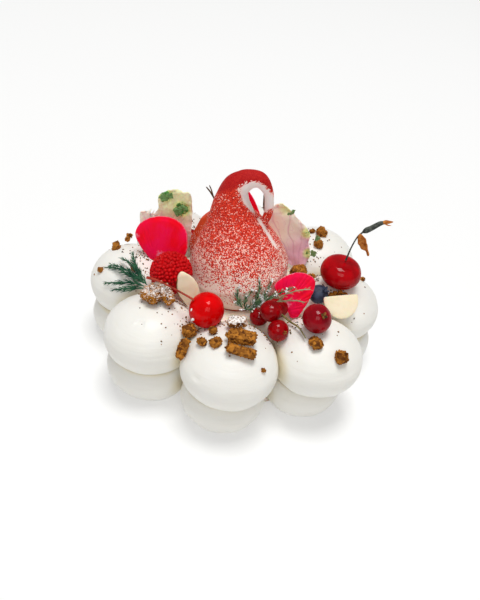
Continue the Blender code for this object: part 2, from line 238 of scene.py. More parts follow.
def tube(name, route, material, sides=10, steps=6):
    """A round tube that tapers through a route of x, y, z and radius."""
    line = spline(route, steps)
    along = np.gradient(line[:, :3], axis=0)
    along /= np.linalg.norm(along, axis=1)[:, None]
    side = np.cross(along[0], (0.3, 0.5, 0.8))
    rings = []
    for place, forward in zip(line, along):
        side = side - forward * side.dot(forward)
        side /= np.linalg.norm(side)
        other = np.cross(forward, side)
        for k in range(sides):
            angle = 2 * math.pi * k / sides
            rings.append(place[:3] + place[3] * (side * math.cos(angle) + other * math.sin(angle)))
    ends = line[0, :3] - along[0] * line[0, 3] * 0.6, line[-1, :3] + along[-1] * line[-1, 3] * 0.6
    points = np.vstack([ends[0], rings, ends[1]])
    return make_piece(name, points, skin_faces(sides, len(line)), material)


# Geometry Nodes

def empty_tree(name, sockets):
    """A Geometry Nodes tree with named inputs, and its input and output nodes."""
    tree = bpy.data.node_groups.new(name, "GeometryNodeTree")
    for key, kind in sockets:
        tree.interface.new_socket(key, in_out="INPUT", socket_type="NodeSocket" + kind)
    tree.interface.new_socket("Result", in_out="OUTPUT", socket_type="NodeSocketGeometry")
    return tree, add(tree, "NodeGroupInput").outputs


def scatter_tree():
    """Grains spread over a surface, as close as its cover value allows, and sunk a little into it."""
    tree, given = empty_tree("scatter grains", (
        ("Surface", "Geometry"), ("Grain", "Object"), ("Spacing", "Float"), ("Density", "Float"),
        ("Smallest", "Float"), ("Largest", "Float"), ("Tumble", "Float"), ("Seed", "Int"),
        ("Finish", "Material"), ("Keep surface", "Bool")))
    cover = add(tree, "GeometryNodeInputNamedAttribute", {"Name": "cover"}, data_type="FLOAT")
    spread = add(tree, "GeometryNodeDistributePointsOnFaces", {
        "Mesh": given["Surface"], "Distance Min": given["Spacing"], "Density Max": given["Density"],
        "Density Factor": cover.outputs[0], "Seed": given["Seed"]}, distribute_method="POISSON")
    size = add(tree, "FunctionNodeRandomValue", {
        2: given["Smallest"], 3: given["Largest"], "Seed": given["Seed"]}, data_type="FLOAT")
    whirl = add(tree, "FunctionNodeRandomValue", {0: (-1, -1, -math.pi), 1: (1, 1, math.pi), "Seed": 5},
                data_type="FLOAT_VECTOR")
    upset = add(tree, "ShaderNodeCombineXYZ", {0: given["Tumble"], 1: given["Tumble"], 2: 1.0})
    turned = add(tree, "ShaderNodeVectorMath", {0: whirl.outputs[0], 1: upset.outputs[0]},
                 operation="MULTIPLY")
    turn = add(tree, "FunctionNodeEulerToRotation", {0: turned.outputs[0]})
    facing = add(tree, "FunctionNodeRotateRotation", {
        0: spread.outputs["Rotation"], 1: turn.outputs[0]}, rotation_space="LOCAL")
    grain = add(tree, "GeometryNodeObjectInfo", {"Object": given["Grain"]})
    grains = add(tree, "GeometryNodeInstanceOnPoints", {
        "Points": spread.outputs["Points"], "Instance": grain.outputs["Geometry"],
        "Rotation": facing.outputs[0], "Scale": size.outputs[1]})
    real = add(tree, "GeometryNodeRealizeInstances", {0: grains.outputs[0]})
    finished = add(tree, "GeometryNodeSetMaterial", {
        "Geometry": real.outputs[0], "Material": given["Finish"]})
    kept = add(tree, "GeometryNodeSwitch", {
        "Switch": given["Keep surface"], "True": given["Surface"]}, input_type="GEOMETRY")
    both = add(tree, "GeometryNodeJoinGeometry", {0: [finished.outputs[0], kept.outputs[0]]})
    add(tree, "NodeGroupOutput", {0: both.outputs[0]})
    return tree


def frond_tree():
    """Side threads that lean forward all along the ribs of a feathery herb, shorter to the tips."""
    tree, given = empty_tree("herb frond", (
        ("Ribs", "Geometry"), ("Thread", "Object"), ("Spacing", "Float"), ("Lean", "Float"),
        ("Longest", "Float"), ("Shortest", "Float"), ("Rib radius", "Float"), ("Seed", "Int"),
        ("Finish", "Material")))
    ribs = add(tree, "GeometryNodeResampleCurve", {
        "Curve": given["Ribs"], "Length": given["Spacing"]}, mode="LENGTH")
    along = add(tree, "GeometryNodeInputTangent")
    aimed = add(tree, "FunctionNodeAlignRotationToVector", {"Vector": along.outputs[0]}, axis="Z")
    whirl = add(tree, "FunctionNodeRandomValue", {
        2: 0.0, 3: 2 * math.pi, "Seed": given["Seed"]}, data_type="FLOAT")
    lean = add(tree, "ShaderNodeCombineXYZ", {0: given["Lean"], 2: whirl.outputs[1]})
    turn = add(tree, "FunctionNodeEulerToRotation", {0: lean.outputs[0]})
    facing = add(tree, "FunctionNodeRotateRotation", {
        0: aimed.outputs[0], 1: turn.outputs[0]}, rotation_space="LOCAL")
    part = add(tree, "GeometryNodeSplineParameter")
    length = add(tree, "ShaderNodeMapRange", {
        0: part.outputs["Factor"], 3: given["Longest"], 4: given["Shortest"]})
    chance = add(tree, "FunctionNodeRandomValue", {2: 0.7, 3: 1.15, "Seed": given["Seed"]},
                 data_type="FLOAT")
    size = add(tree, "ShaderNodeMath", {0: length.outputs[0], 1: chance.outputs[1]},
               operation="MULTIPLY")
    thread = add(tree, "GeometryNodeObjectInfo", {"Object": given["Thread"]})
    threads = add(tree, "GeometryNodeInstanceOnPoints", {
        "Points": ribs.outputs[0], "Instance": thread.outputs["Geometry"],
        "Rotation": facing.outputs[0], "Scale": size.outputs[0]})
    ring = add(tree, "GeometryNodeCurvePrimitiveCircle", {
        "Resolution": 6, "Radius": given["Rib radius"]})
    rods = add(tree, "GeometryNodeCurveToMesh", {
        "Curve": ribs.outputs[0], "Profile Curve": ring.outputs[0], "Fill Caps": True})
    both = add(tree, "GeometryNodeJoinGeometry", {0: [rods.outputs[0], threads.outputs[0]]})
    real = add(tree, "GeometryNodeRealizeInstances", {0: both.outputs[0]})
    finished = add(tree, "GeometryNodeSetMaterial", {
        "Geometry": real.outputs[0], "Material": given["Finish"]})
    add(tree, "NodeGroupOutput", {0: finished.outputs[0]})
    return tree


def grow(name, source, tree, **values):
    """Run a tree on an object's mesh or curve, and return what it makes as a plain mesh object."""
    carrier = bpy.data.objects.new(name, source.data)
    SCENE.collection.objects.link(carrier)
    modifier = carrier.modifiers.new(tree.name, "NODES")
    modifier.node_group = tree
    for item in tree.interface.items_tree:
        key = item.name.lower().replace(" ", "_")
        if key in values:
            modifier[item.identifier] = values[key]
    return settle(carrier)


# Materials

def new_finish(name, roughness, **constants):
    """A material, with its constants set on the shader; returns it, its tree and its shader."""
    material = bpy.data.materials.new(name)
    material.use_nodes = True
    shader = material.node_tree.nodes["Principled BSDF"]
    shader.inputs["Roughness"].default_value = roughness
    for key, value in constants.items():
        shader.inputs[key.replace("_", " ")].default_value = value
    return material, material.node_tree, shader


def millimetres(tree):
    """Object coordinates in millimetres, so that a pattern's scale is one over its real size."""
    place = add(tree, "ShaderNodeTexCoord")
    return add(tree, "ShaderNodeVectorMath", {0: place.outputs["Object"], "Scale": 1 / MM},
               operation="SCALE").outputs[0]


def piped_meringue():
    """Silky piped meringue: painted shade, a darker yellowish tint in the crevices between balls, a fine skin
    with pores, and smoothing lines.
    """
    material, tree, shader = new_finish("piped_meringue", 0.42, Subsurface_Weight=0.1,
                                        Subsurface_Scale=0.003, IOR=1.4)
    shader.inputs["Subsurface Radius"].default_value = (1.0, 0.8, 0.6)
    place = millimetres(tree)
    clouds = add(tree, "ShaderNodeTexNoise", {"Vector": place, "Scale": 1 / 14, "Detail": 2.0})
    body = add(tree, "ShaderNodeMix", {0: clouds.outputs[0], 6: srgb("F0EEE9"), 7: srgb("ECEAE1")},
               data_type="RGBA")
    # Painted shade: the crevices between balls and along the seam are tinted darker and yellowish, standing in
    # for the shade that falls there
    crease = add(tree, "ShaderNodeAttribute", attribute_name="crease")
    crevice_shade_weight = add(tree, "ShaderNodeMath", {0: crease.outputs["Fac"], 1: 0.75}, operation="MULTIPLY")
    colour = add(tree, "ShaderNodeMix", {0: crevice_shade_weight.outputs[0], 6: body.outputs[2], 7: srgb("EAE0C4")},
                 data_type="RGBA")
    tree.links.new(colour.outputs[2], shader.inputs["Base Color"])
    pores = add(tree, "ShaderNodeTexNoise", {"Vector": place, "Scale": 1 / 0.9, "Detail": 3.0})
    flat = add(tree, "ShaderNodeMapping", {"Vector": place, "Scale": (0.06, 0.06, 0.5)})
    lines = add(tree, "ShaderNodeTexNoise", {"Vector": flat.outputs[0], "Scale": 1.0, "Detail": 3.0})
    skin = add(tree, "ShaderNodeBump", {"Height": pores.outputs[0], "Strength": 0.35,
                                        "Distance": 0.00012})
    bump = add(tree, "ShaderNodeBump", {"Height": lines.outputs[0], "Strength": 0.6,
                                        "Distance": 0.0005, "Normal": skin.outputs[0]})
    tree.links.new(bump.outputs[0], shader.inputs["Normal"])
    return material


def whipped_cream():
    """Soft yellowish cream on the well's floor, with a broken surface."""
    material, tree, shader = new_finish("whipped_cream", 0.4, Subsurface_Weight=0.3,
                                        Subsurface_Scale=0.003, IOR=1.45)
    place = millimetres(tree)
    clouds = add(tree, "ShaderNodeTexNoise", {"Vector": place, "Scale": 1 / 6, "Detail": 3.0})
    colour = add(tree, "ShaderNodeMix", {0: clouds.outputs[0], 6: srgb("F4EADB"), 7: srgb("EBDAC2")},
                 data_type="RGBA")
    tree.links.new(colour.outputs[2], shader.inputs["Base Color"])
    lumps = add(tree, "ShaderNodeTexNoise", {"Vector": place, "Scale": 1 / 1.5, "Detail": 3.0})
    bump = add(tree, "ShaderNodeBump", {"Height": lumps.outputs[0], "Distance": 0.0004})
    tree.links.new(bump.outputs[0], shader.inputs["Normal"])
    return material


def velvet_spray():
    """Cocoa-butter velvet sprayed on cream: a matt crust of red droplets, thick on the crest and
    broken into specks lower down. The droplets are drawn about 0.5 mm wide so that they show."""
    material, tree, shader = new_finish("velvet_spray", 0.62, Subsurface_Weight=0.1,
                                        Subsurface_Scale=0.002, IOR=1.45,
                                        Specular_IOR_Level=0.15)
    place = millimetres(tree)
    spray = add(tree, "ShaderNodeAttribute", attribute_name="spray")
    bare = add(tree, "ShaderNodeAttribute", attribute_name="bare")
    amber = add(tree, "ShaderNodeAttribute", attribute_name="amber")
    small = add(tree, "ShaderNodeTexVoronoi", {"Vector": place, "Scale": 1 / 0.38})
    large = add(tree, "ShaderNodeTexVoronoi", {"Vector": place, "Scale": 1 / 0.52})
    fine = add(tree, "ShaderNodeSeparateColor", {0: small.outputs["Color"]})
    coarse = add(tree, "ShaderNodeSeparateColor", {0: large.outputs["Color"]})
    drifts = add(tree, "ShaderNodeTexNoise", {"Vector": place, "Scale": 1 / 5, "Detail": 2.0})
    drift = add(tree, "ShaderNodeMapRange", {0: drifts.outputs[0], 1: 0.3, 2: 0.7, 3: -0.1, 4: 0.1})
    worn = add(tree, "ShaderNodeMath", {0: bare.outputs["Fac"], 1: -1.4, 2: drift.outputs[0]},
               operation="MULTIPLY_ADD")
    cover = add(tree, "ShaderNodeMath", {0: spray.outputs["Fac"], 1: worn.outputs[0]},
                operation="ADD")
    first = add(tree, "ShaderNodeMath", {0: fine.outputs[0], 1: cover.outputs[0]},
                operation="LESS_THAN")
    share = add(tree, "ShaderNodeMath", {0: cover.outputs[0], 1: 0.7}, operation="MULTIPLY")
    second = add(tree, "ShaderNodeMath", {0: coarse.outputs[0], 1: share.outputs[0]},
                 operation="LESS_THAN")
    either = add(tree, "ShaderNodeMath", {0: first.outputs[0], 1: second.outputs[0]},
                 operation="MAXIMUM")
    ground = add(tree, "ShaderNodeMapRange", {0: spray.outputs["Fac"], 1: 0.15, 2: 0.75})
    cream = add(tree, "ShaderNodeMix", {0: ground.outputs[0], 6: srgb("FCE4D6"), 7: srgb("FFC8BA")},
                data_type="RGBA")
    base = add(tree, "ShaderNodeMix", {0: bare.outputs["Fac"], 6: cream.outputs[2],
                                       7: srgb("F0E4E0")}, data_type="RGBA")
    shade = add(tree, "ShaderNodeMix", {0: fine.outputs[1], 6: srgb("FA4A30"), 7: srgb("A80C10")},
                data_type="RGBA")
    solid = add(tree, "ShaderNodeMapRange", {0: spray.outputs["Fac"], 1: 0.85, 2: 1.15, 4: 0.8})
    thick = add(tree, "ShaderNodeMix", {0: solid.outputs[0], 6: shade.outputs[2], 7: srgb("AC0E16")},
                data_type="RGBA")
    browned = add(tree, "ShaderNodeMix", {0: amber.outputs["Fac"], 6: thick.outputs[2],
                                          7: srgb("DC5428")}, data_type="RGBA")
    colour = add(tree, "ShaderNodeMix", {0: either.outputs[0], 6: base.outputs[2],
                                         7: browned.outputs[2]}, data_type="RGBA")
    tree.links.new(colour.outputs[2], shader.inputs["Base Color"])
    rise = add(tree, "ShaderNodeMath", {0: small.outputs["Distance"], 1: either.outputs[0]},
               operation="MULTIPLY")
    bump = add(tree, "ShaderNodeBump", {"Height": rise.outputs[0], "Strength": 0.5,
                                        "Distance": 0.0003}, invert=True)
    tree.links.new(bump.outputs[0], shader.inputs["Normal"])
    return material


def fruit_skin(name, bright, deep, roughness, gloss, mottle, size):
    """Taut fruit skin: mottled from a bright to a deep colour, with a clear waxy gloss."""
    material, tree, shader = new_finish(name, roughness, Subsurface_Weight=0.2,
                                        Subsurface_Scale=0.002, Coat_Weight=gloss,
                                        Coat_Roughness=0.05, IOR=1.35, Specular_IOR_Level=0.02)
    shader.inputs["Subsurface Radius"].default_value = (1.0, 0.15, 0.1)
    place = millimetres(tree)
    clouds = add(tree, "ShaderNodeTexNoise", {"Vector": place, "Scale": 1 / size, "Detail": 3.0})
    spread = add(tree, "ShaderNodeMapRange", {0: clouds.outputs[0], 1: 0.5 - mottle, 2: 0.5 + mottle})
    colour = add(tree, "ShaderNodeMix", {0: spread.outputs[0], 6: srgb(bright), 7: srgb(deep)},
                 data_type="RGBA")
    tree.links.new(colour.outputs[2], shader.inputs["Base Color"])
    pits = add(tree, "ShaderNodeTexNoise", {"Vector": place, "Scale": 1 / 0.6, "Detail": 2.0})
    bump = add(tree, "ShaderNodeBump", {"Height": pits.outputs[0], "Strength": 0.12,
                                        "Distance": 0.0001})
    tree.links.new(bump.outputs[0], shader.inputs["Normal"])
    return material


def bloomed_skin():
    """Blueberry skin: blue-black under a broken grey bloom of wax."""
    material, tree, shader = new_finish("blueberry_bloom", 0.55, IOR=1.4)
    place = millimetres(tree)
    wax = add(tree, "ShaderNodeTexNoise", {"Vector": place, "Scale": 1 / 2, "Detail": 4.0})
    spread = add(tree, "ShaderNodeMapRange", {0: wax.outputs[0], 1: 0.35, 2: 0.7})
    colour = add(tree, "ShaderNodeMix", {0: spread.outputs[0], 6: srgb("1C2033"), 7: srgb("414A63")},
                 data_type="RGBA")
    tree.links.new(colour.outputs[2], shader.inputs["Base Color"])
    return material


def raspberry_flesh():
    """Raspberry drupelets: dark, juicy red under a velvet of fine pale hairs."""
    material, tree, shader = new_finish("raspberry_flesh", 0.5, Subsurface_Weight=0.25,
                                        Subsurface_Scale=0.0015, Sheen_Weight=0.08,
                                        Sheen_Roughness=0.4, IOR=1.4, Specular_IOR_Level=0.2)
    shader.inputs["Subsurface Radius"].default_value = (1.0, 0.1, 0.08)
    shader.inputs["Sheen Tint"].default_value = srgb("E8607A")
    place = millimetres(tree)
    clouds = add(tree, "ShaderNodeTexNoise", {"Vector": place, "Scale": 1 / 3, "Detail": 3.0})
    colour = add(tree, "ShaderNodeMix", {0: clouds.outputs[0], 6: srgb("DC040C"), 7: srgb("A4020A")},
                 data_type="RGBA")
    tree.links.new(colour.outputs[2], shader.inputs["Base Color"])
    return material


def rose_petal_skin():
    """Rose petal: hot pink to red, with fine veins that fan from the base, a bruised pale edge and pale spots,
    one of which is a painted highlight.
    """
    material, tree, shader = new_finish("rose_petal_skin", 0.45, Subsurface_Weight=0.2,
                                        Subsurface_Scale=0.001, IOR=1.35, Specular_IOR_Level=0.2)
    shader.inputs["Subsurface Radius"].default_value = (1.0, 0.2, 0.3)
    place = millimetres(tree)
    clouds = add(tree, "ShaderNodeTexNoise", {"Vector": place, "Scale": 1 / 9, "Detail": 2.0})
    spread = add(tree, "ShaderNodeMapRange", {0: clouds.outputs[0], 1: 0.35, 2: 0.65})
    body = add(tree, "ShaderNodeMix", {0: spread.outputs[0], 6: srgb("FF0A50"), 7: srgb("FF0022")},
               data_type="RGBA")
    # The pale value holds the petal's pale rim and spots, and on the left petal a painted highlight in its
    # lower middle
    pale = add(tree, "ShaderNodeAttribute", attribute_name="pale")
    grain = add(tree, "ShaderNodeTexNoise", {"Vector": place, "Scale": 1 / 0.8, "Detail": 2.0})
    pale_and_highlight_mask = add(tree, "ShaderNodeMath", {0: grain.outputs[0], 1: pale.outputs["Fac"]}, operation="ADD")
    fade = add(tree, "ShaderNodeMapRange", {0: pale_and_highlight_mask.outputs[0], 1: 0.75, 2: 1.25})
    colour = add(tree, "ShaderNodeMix", {0: fade.outputs[0], 6: body.outputs[2], 7: srgb("F58CA6")},
                 data_type="RGBA")
    tree.links.new(colour.outputs[2], shader.inputs["Base Color"])
    fan = add(tree, "ShaderNodeAttribute", attribute_name="fan")
    veins = add(tree, "ShaderNodeTexNoise", {"W": fan.outputs["Fac"], "Scale": 1.0, "Detail": 2.0},
                noise_dimensions="1D")
    bump = add(tree, "ShaderNodeBump", {"Height": veins.outputs[0], "Strength": 0.5,
                                        "Distance": 0.0003})
    tree.links.new(bump.outputs[0], shader.inputs["Normal"])
    return material


def kale_skin():
    """Ornamental kale: a cream and peach blade that turns lilac, with branching veins and green frills."""
    material, tree, shader = new_finish("kale_skin", 0.5, Subsurface_Weight=0.2,
                                        Subsurface_Scale=0.001, IOR=1.4, Specular_IOR_Level=0.2)
    place = millimetres(tree)
    lilac = add(tree, "ShaderNodeAttribute", attribute_name="lilac")
    green = add(tree, "ShaderNodeAttribute", attribute_name="green")
    vein = add(tree, "ShaderNodeAttribute", attribute_name="vein")
    clouds = add(tree, "ShaderNodeTexNoise", {"Vector": place, "Scale": 1 / 6, "Detail": 3.0})
    pale = add(tree, "ShaderNodeMix", {0: clouds.outputs[0], 6: srgb("FFF6E4"), 7: srgb("FFECDC")},
               data_type="RGBA")
    tinted = add(tree, "ShaderNodeMix", {0: lilac.outputs["Fac"], 6: pale.outputs[2],
                                         7: srgb("FCC8DA")}, data_type="RGBA")
    veined = add(tree, "ShaderNodeMix", {0: vein.outputs["Fac"], 6: tinted.outputs[2],
                                         7: srgb("DC9CB2")}, data_type="RGBA")
    halo = add(tree, "ShaderNodeMapRange", {0: green.outputs["Fac"], 1: 0.1, 2: 0.6})
    limed = add(tree, "ShaderNodeMix", {0: halo.outputs[0], 6: veined.outputs[2],
                                        7: srgb("EEF4A4")}, data_type="RGBA")
    ragged = add(tree, "ShaderNodeTexNoise", {"Vector": place, "Scale": 1 / 1.2, "Detail": 3.0})
    edge = add(tree, "ShaderNodeMath", {0: green.outputs["Fac"], 1: ragged.outputs[0]},
               operation="ADD")
    leafy = add(tree, "ShaderNodeMapRange", {0: edge.outputs[0], 1: 1.25, 2: 1.4})
    colour = add(tree, "ShaderNodeMix", {0: leafy.outputs[0], 6: limed.outputs[2],
                                         7: srgb("5C9C4C")}, data_type="RGBA")
    tree.links.new(colour.outputs[2], shader.inputs["Base Color"])
    bump = add(tree, "ShaderNodeBump", {"Height": ragged.outputs[0], "Strength": 0.3,
                                        "Distance": 0.0003})
    tree.links.new(bump.outputs[0], shader.inputs["Normal"])
    return material


def frill_leaf():
    """The dark green curled edge of kale, waxy and finely wrinkled."""
    material, tree, shader = new_finish("kale_frill", 0.5, Subsurface_Weight=0.1, IOR=1.4)
    place = millimetres(tree)
    clouds = add(tree, "ShaderNodeTexNoise", {"Vector": place, "Scale": 1 / 1.6, "Detail": 3.0})
    colour = add(tree, "ShaderNodeMix", {0: clouds.outputs[0], 6: srgb("2E6B30"), 7: srgb("7FA560")},
                 data_type="RGBA")
    tree.links.new(colour.outputs[2], shader.inputs["Base Color"])
    return material


def almond_flesh():
    """Sliced almond: matt cream flesh with a papery brown skin left on one edge."""
    material, tree, shader = new_finish("almond_flesh", 0.55, Subsurface_Weight=0.3,
                                        Subsurface_Scale=0.001, IOR=1.45)
    place = millimetres(tree)
    clouds = add(tree, "ShaderNodeTexNoise", {"Vector": place, "Scale": 1 / 4, "Detail": 3.0})
    flesh = add(tree, "ShaderNodeMix", {0: clouds.outputs[0], 6: srgb("FAEED4"), 7: srgb("EEDEBA")},
                data_type="RGBA")
    skin = add(tree, "ShaderNodeAttribute", attribute_name="skin")
    colour = add(tree, "ShaderNodeMix", {0: skin.outputs["Fac"], 6: flesh.outputs[2],
                                         7: srgb("8A5526")}, data_type="RGBA")
    tree.links.new(colour.outputs[2], shader.inputs["Base Color"])
    bump = add(tree, "ShaderNodeBump", {"Height": clouds.outputs[0], "Strength": 0.3,
                                        "Distance": 0.0004})
    tree.links.new(bump.outputs[0], shader.inputs["Normal"])
    return material


def baked_oats():
    """Oat biscuit baked golden to dark brown: dry, rough crumb with darker toasted grains."""
    material, tree, shader = new_finish("baked_oats", 0.75, IOR=1.45, Specular_IOR_Level=0.15)
    place = millimetres(tree)
    grains = add(tree, "ShaderNodeTexVoronoi", {"Vector": place, "Scale": 1 / 1.3})
    each = add(tree, "ShaderNodeSeparateColor", {0: grains.outputs["Color"]})
    clouds = add(tree, "ShaderNodeTexNoise", {"Vector": place, "Scale": 1 / 3, "Detail": 4.0})
    mixed = add(tree, "ShaderNodeMath", {0: each.outputs[0], 1: clouds.outputs[0]}, operation="ADD")
    spread = add(tree, "ShaderNodeMapRange", {0: mixed.outputs[0], 1: 0.55, 2: 1.45})
    colour = add(tree, "ShaderNodeMix", {0: spread.outputs[0], 6: srgb("BE7C2C"), 7: srgb("603410")},
                 data_type="RGBA")
    dust = add(tree, "ShaderNodeAttribute", attribute_name="dust")
    flour = add(tree, "ShaderNodeTexNoise", {"Vector": place, "Scale": 1 / 0.9, "Detail": 3.0})
    lying = add(tree, "ShaderNodeMath", {0: dust.outputs["Fac"], 1: flour.outputs[0]},
                operation="ADD")
    patch = add(tree, "ShaderNodeMapRange", {0: lying.outputs[0], 1: 1.0, 2: 1.3})
    dusted = add(tree, "ShaderNodeMix", {0: patch.outputs[0], 6: colour.outputs[2],
                                         7: srgb("F3F0EC")}, data_type="RGBA")
    tree.links.new(dusted.outputs[2], shader.inputs["Base Color"])
    bump = add(tree, "ShaderNodeBump", {"Height": clouds.outputs[0], "Strength": 0.6,
                                        "Distance": 0.0005})
    tree.links.new(bump.outputs[0], shader.inputs["Normal"])
    return material


def fine_matter(name, first, second, size, roughness):
    """A dry, matt finish for threads, specks and dust, mottled between two colours."""
    material, tree, shader = new_finish(name, roughness, IOR=1.4, Specular_IOR_Level=0.2)
    place = millimetres(tree)
    clouds = add(tree, "ShaderNodeTexNoise", {"Vector": place, "Scale": 1 / size, "Detail": 2.0})
    spread = add(tree, "ShaderNodeMapRange", {0: clouds.outputs[0], 1: 0.4, 2: 0.6})
    colour = add(tree, "ShaderNodeMix", {0: spread.outputs[0], 6: srgb(first), 7: srgb(second)},
                 data_type="RGBA")
    tree.links.new(colour.outputs[2], shader.inputs["Base Color"])
    return material


MERINGUE = piped_meringue()
CREAM = whipped_cream()
SPRAY = velvet_spray()
CHERRY_BRIGHT = fruit_skin("cherry_skin_bright", "E40004", "C40002", 0.3, 0.25, 0.2, 6)
CHERRY_DEEP = fruit_skin("cherry_skin_deep", "BC020E", "8C0008", 0.35, 0.3, 0.2, 5)
CURRANT = fruit_skin("currant_skin", "A4020A", "720006", 0.25, 0.35, 0.2, 3)
CRANBERRY = fruit_skin("cranberry_skin", "A40618", "700210", 0.3, 0.32, 0.25, 5)
BLUEBERRY = bloomed_skin()
RASPBERRY = raspberry_flesh()
PETAL = rose_petal_skin()
KALE = kale_skin()
FRILL = frill_leaf()
ALMOND = almond_flesh()
OATS = baked_oats()
DILL = fine_matter("dill_green", "1E4A38", "3A6B4C", 4, 0.55)
FROSTED = fine_matter("frosted_dill", "2E5C3C", "7C9E74", 1.4, 0.6)
SUGAR = fine_matter("icing_sugar", "FFFFFF", "F4F2F0", 0.6, 0.7)
SPECKS = fine_matter("dark_crumb_specks", "3A2818", "A06C34", 1.5, 0.8)
TWIG = fine_matter("dry_twig", "4A3A2C", "7C6448", 1.5, 0.75)
RED_STEM = fine_matter("red_stem", "8C2A1C", "B04030", 2.0, 0.5)
GREEN_STEM = fine_matter("green_stem", "6E6A3C", "9A8A5C", 2.0, 0.6)
STALK = fine_matter("grey_stalk", "3C403C", "5C6058", 1.2, 0.7)
BRACT = fine_matter("dried_bract", "A85E22", "D08840", 1.5, 0.6)
SYRUP = fine_matter("red_brown_syrup", "8E2A14", "A84020", 2.0, 0.25)

SCATTER = scatter_tree()
FROND = frond_tree()


# Small shapes that Geometry Nodes repeat; they leave the scene once all that uses them is made

def template(name, points, faces):
    """A small shape, about 1 mm in radius or length, for a tree to repeat."""
    return make_piece(name, points, faces, SPECKS)


def rough_grain(name, columns, rings, flatness, seed):
    """An irregular, slightly flat grain."""
    unit = round_points(columns, rings)
    points = unit * (1 + 0.35 * uneven(unit, 0.7, seed))[:, None]
    points[:, 2] *= flatness
    return template(name, points, skin_faces(columns, rings))


def herb_thread():
    """A dill thread 1 mm long that forks into three tapering tines."""
    tines = []
    for lean, turn, start, length in ((0, 0, 0.0, 1.0), (24, 20, 0.3, 0.62), (-26, 200, 0.45, 0.48)):
        lean_x = math.sin(math.radians(lean)) * length
        route = [(0.04 * start, 0, start, 0.034), (lean_x * 0.45, 0.02, start + length * 0.5, 0.03),
                 (lean_x, 0.05, start + length * 0.95, 0.012)]
        tines.append(tube(f"tine_{turn}", route, SPECKS, sides=5, steps=3))
    return joined("herb_thread", tines)


DRUPELET = template("drupelet", round_points(12, 7), skin_faces(12, 7))
GRAIN = rough_grain("oat_grain", 8, 5, 0.75, 3)
SPECK = rough_grain("speck", 6, 3, 0.7, 8)
CRYSTAL = rough_grain("sugar_grain", 6, 3, 0.9, 5)
THREAD = herb_thread()
TEMPLATES = (DRUPELET, GRAIN, SPECK, CRYSTAL, THREAD)


# Rings of piped balls

BALL_COLUMNS = 128
BALL_RINGS = 72
BALL_MARK = (-39.6, -47.1, 42.6)     # where the piping tip left a curl on the front left ball
BALL_DENT = (-12.9, -65.0, 35.0)     # a small dent low on the front ball


def ring_centres(level):
    """Centres of a ring's balls, from the front and anticlockwise from above."""
    centres = []
    for index, shift in enumerate(level["shifts"]):
        angle = 2 * math.pi * index / len(level["shifts"])
        reach = level["ring"] + shift
        centres.append(np.array([level["offset"] + reach * math.sin(angle),
                                 -reach * math.cos(angle), level["height"]]))
    return centres


def contact_walls(centres, radii, index):
    """The upright planes where a ball is squashed flat by the ball on each side of it."""
    walls = []
    for step in (-1, 1):
        other = (index + step) % len(centres)
        towards = centres[other] - centres[index]
        spacing = np.linalg.norm(towards)
        reach = (spacing ** 2 + radii[index] ** 2 - radii[other] ** 2) / (2 * spacing)
        walls.append((towards / spacing, reach - GAP / 2))
    return walls


def curl_mark(points):
    """How far the comma left by the piping tip stands out of the ball at each point."""
    side = points[:, 0] - BALL_MARK[0]
    along = points[:, 1] - BALL_MARK[1]
    reach = np.hypot(side, along * 1.3)
    angle = np.degrees(np.arctan2(along, side))
    arc = smooth_step(angle, -30, 10) * (1 - smooth_step(angle, 150, 190))
    radius = 2.2 + 0.006 * (angle + 30)
    near = np.linalg.norm(points - BALL_MARK, axis=1) < 7
    ridge = 0.5 * np.exp(-((reach - radius) / 0.45) ** 2) * arc
    hollow = -0.35 * np.exp(-((reach - radius + 1.3) / 0.8) ** 2) * arc
    return np.where(near, ridge + hollow, 0)


def dent(points):
    """A small pressed dent with a lip below it."""
    across = points[:, 0] - BALL_DENT[0]
    height = points[:, 2] - BALL_DENT[2]
    near = np.linalg.norm(points - BALL_DENT, axis=1) < 6
    pit = -0.5 * np.exp(-(across / 1.4) ** 2 - (height / 0.8) ** 2)
    lip = 0.3 * np.exp(-(across / 1.6) ** 2 - ((height + 1.6) / 0.7) ** 2)
    return np.where(near, pit + lip, 0)


def piped_ball(kind, level, index, floor, ceiling):
    """A squat, silky ball of meringue, soft where it meets its neighbours."""
    centres = ring_centres(level)
    centre = centres[index]
    unit = round_points(BALL_COLUMNS, BALL_RINGS)
    seed = index + (20 if kind == "upper" else 40)
    points = unit * level["radii"][index]
    points[:, 2] *= level["squash"]
    swell = 0.55 * uneven(points, 17, seed) + 0.16 * uneven(points, 6, seed + 1)
    flow = 0.07 * uneven(points * (0.12, 0.12, 1.0), 1.1, seed + 2)
    points += unit * (swell + flow)[:, None]
    points += unit * (curl_mark(points + centre) + dent(points + centre))[:, None]
    # Painted shade: how far each point lies in a crevice beside a neighbour or at the seam, for the material's
    # darker yellowish tint there
    crease = np.zeros(len(points))
    for direction, reach in contact_walls(centres, level["radii"], index):
        distance = points @ direction
        crease = np.maximum(crease, smooth_step(distance, reach - 3.5, reach))
        points += direction * (soft_limit(distance, reach, 2.4) - distance)[:, None]
    points += centre
    crease = np.maximum(crease, smooth_step(-np.abs(points[:, 2] - SEAM_HEIGHT), -2.0, 0))
    points[:, 2] = soft_limit(points[:, 2], ceiling, 2.0)
    points[:, 2] = -soft_limit(-points[:, 2], -floor, 2.0)
    side = COMPASS[index]
    ball = make_piece(f"{kind}_meringue_ball_{side}", points, skin_faces(BALL_COLUMNS, BALL_RINGS),
                      MERINGUE, {"crease": crease})
    return show(ball, "meringue", f"{kind}_meringue_{side}")


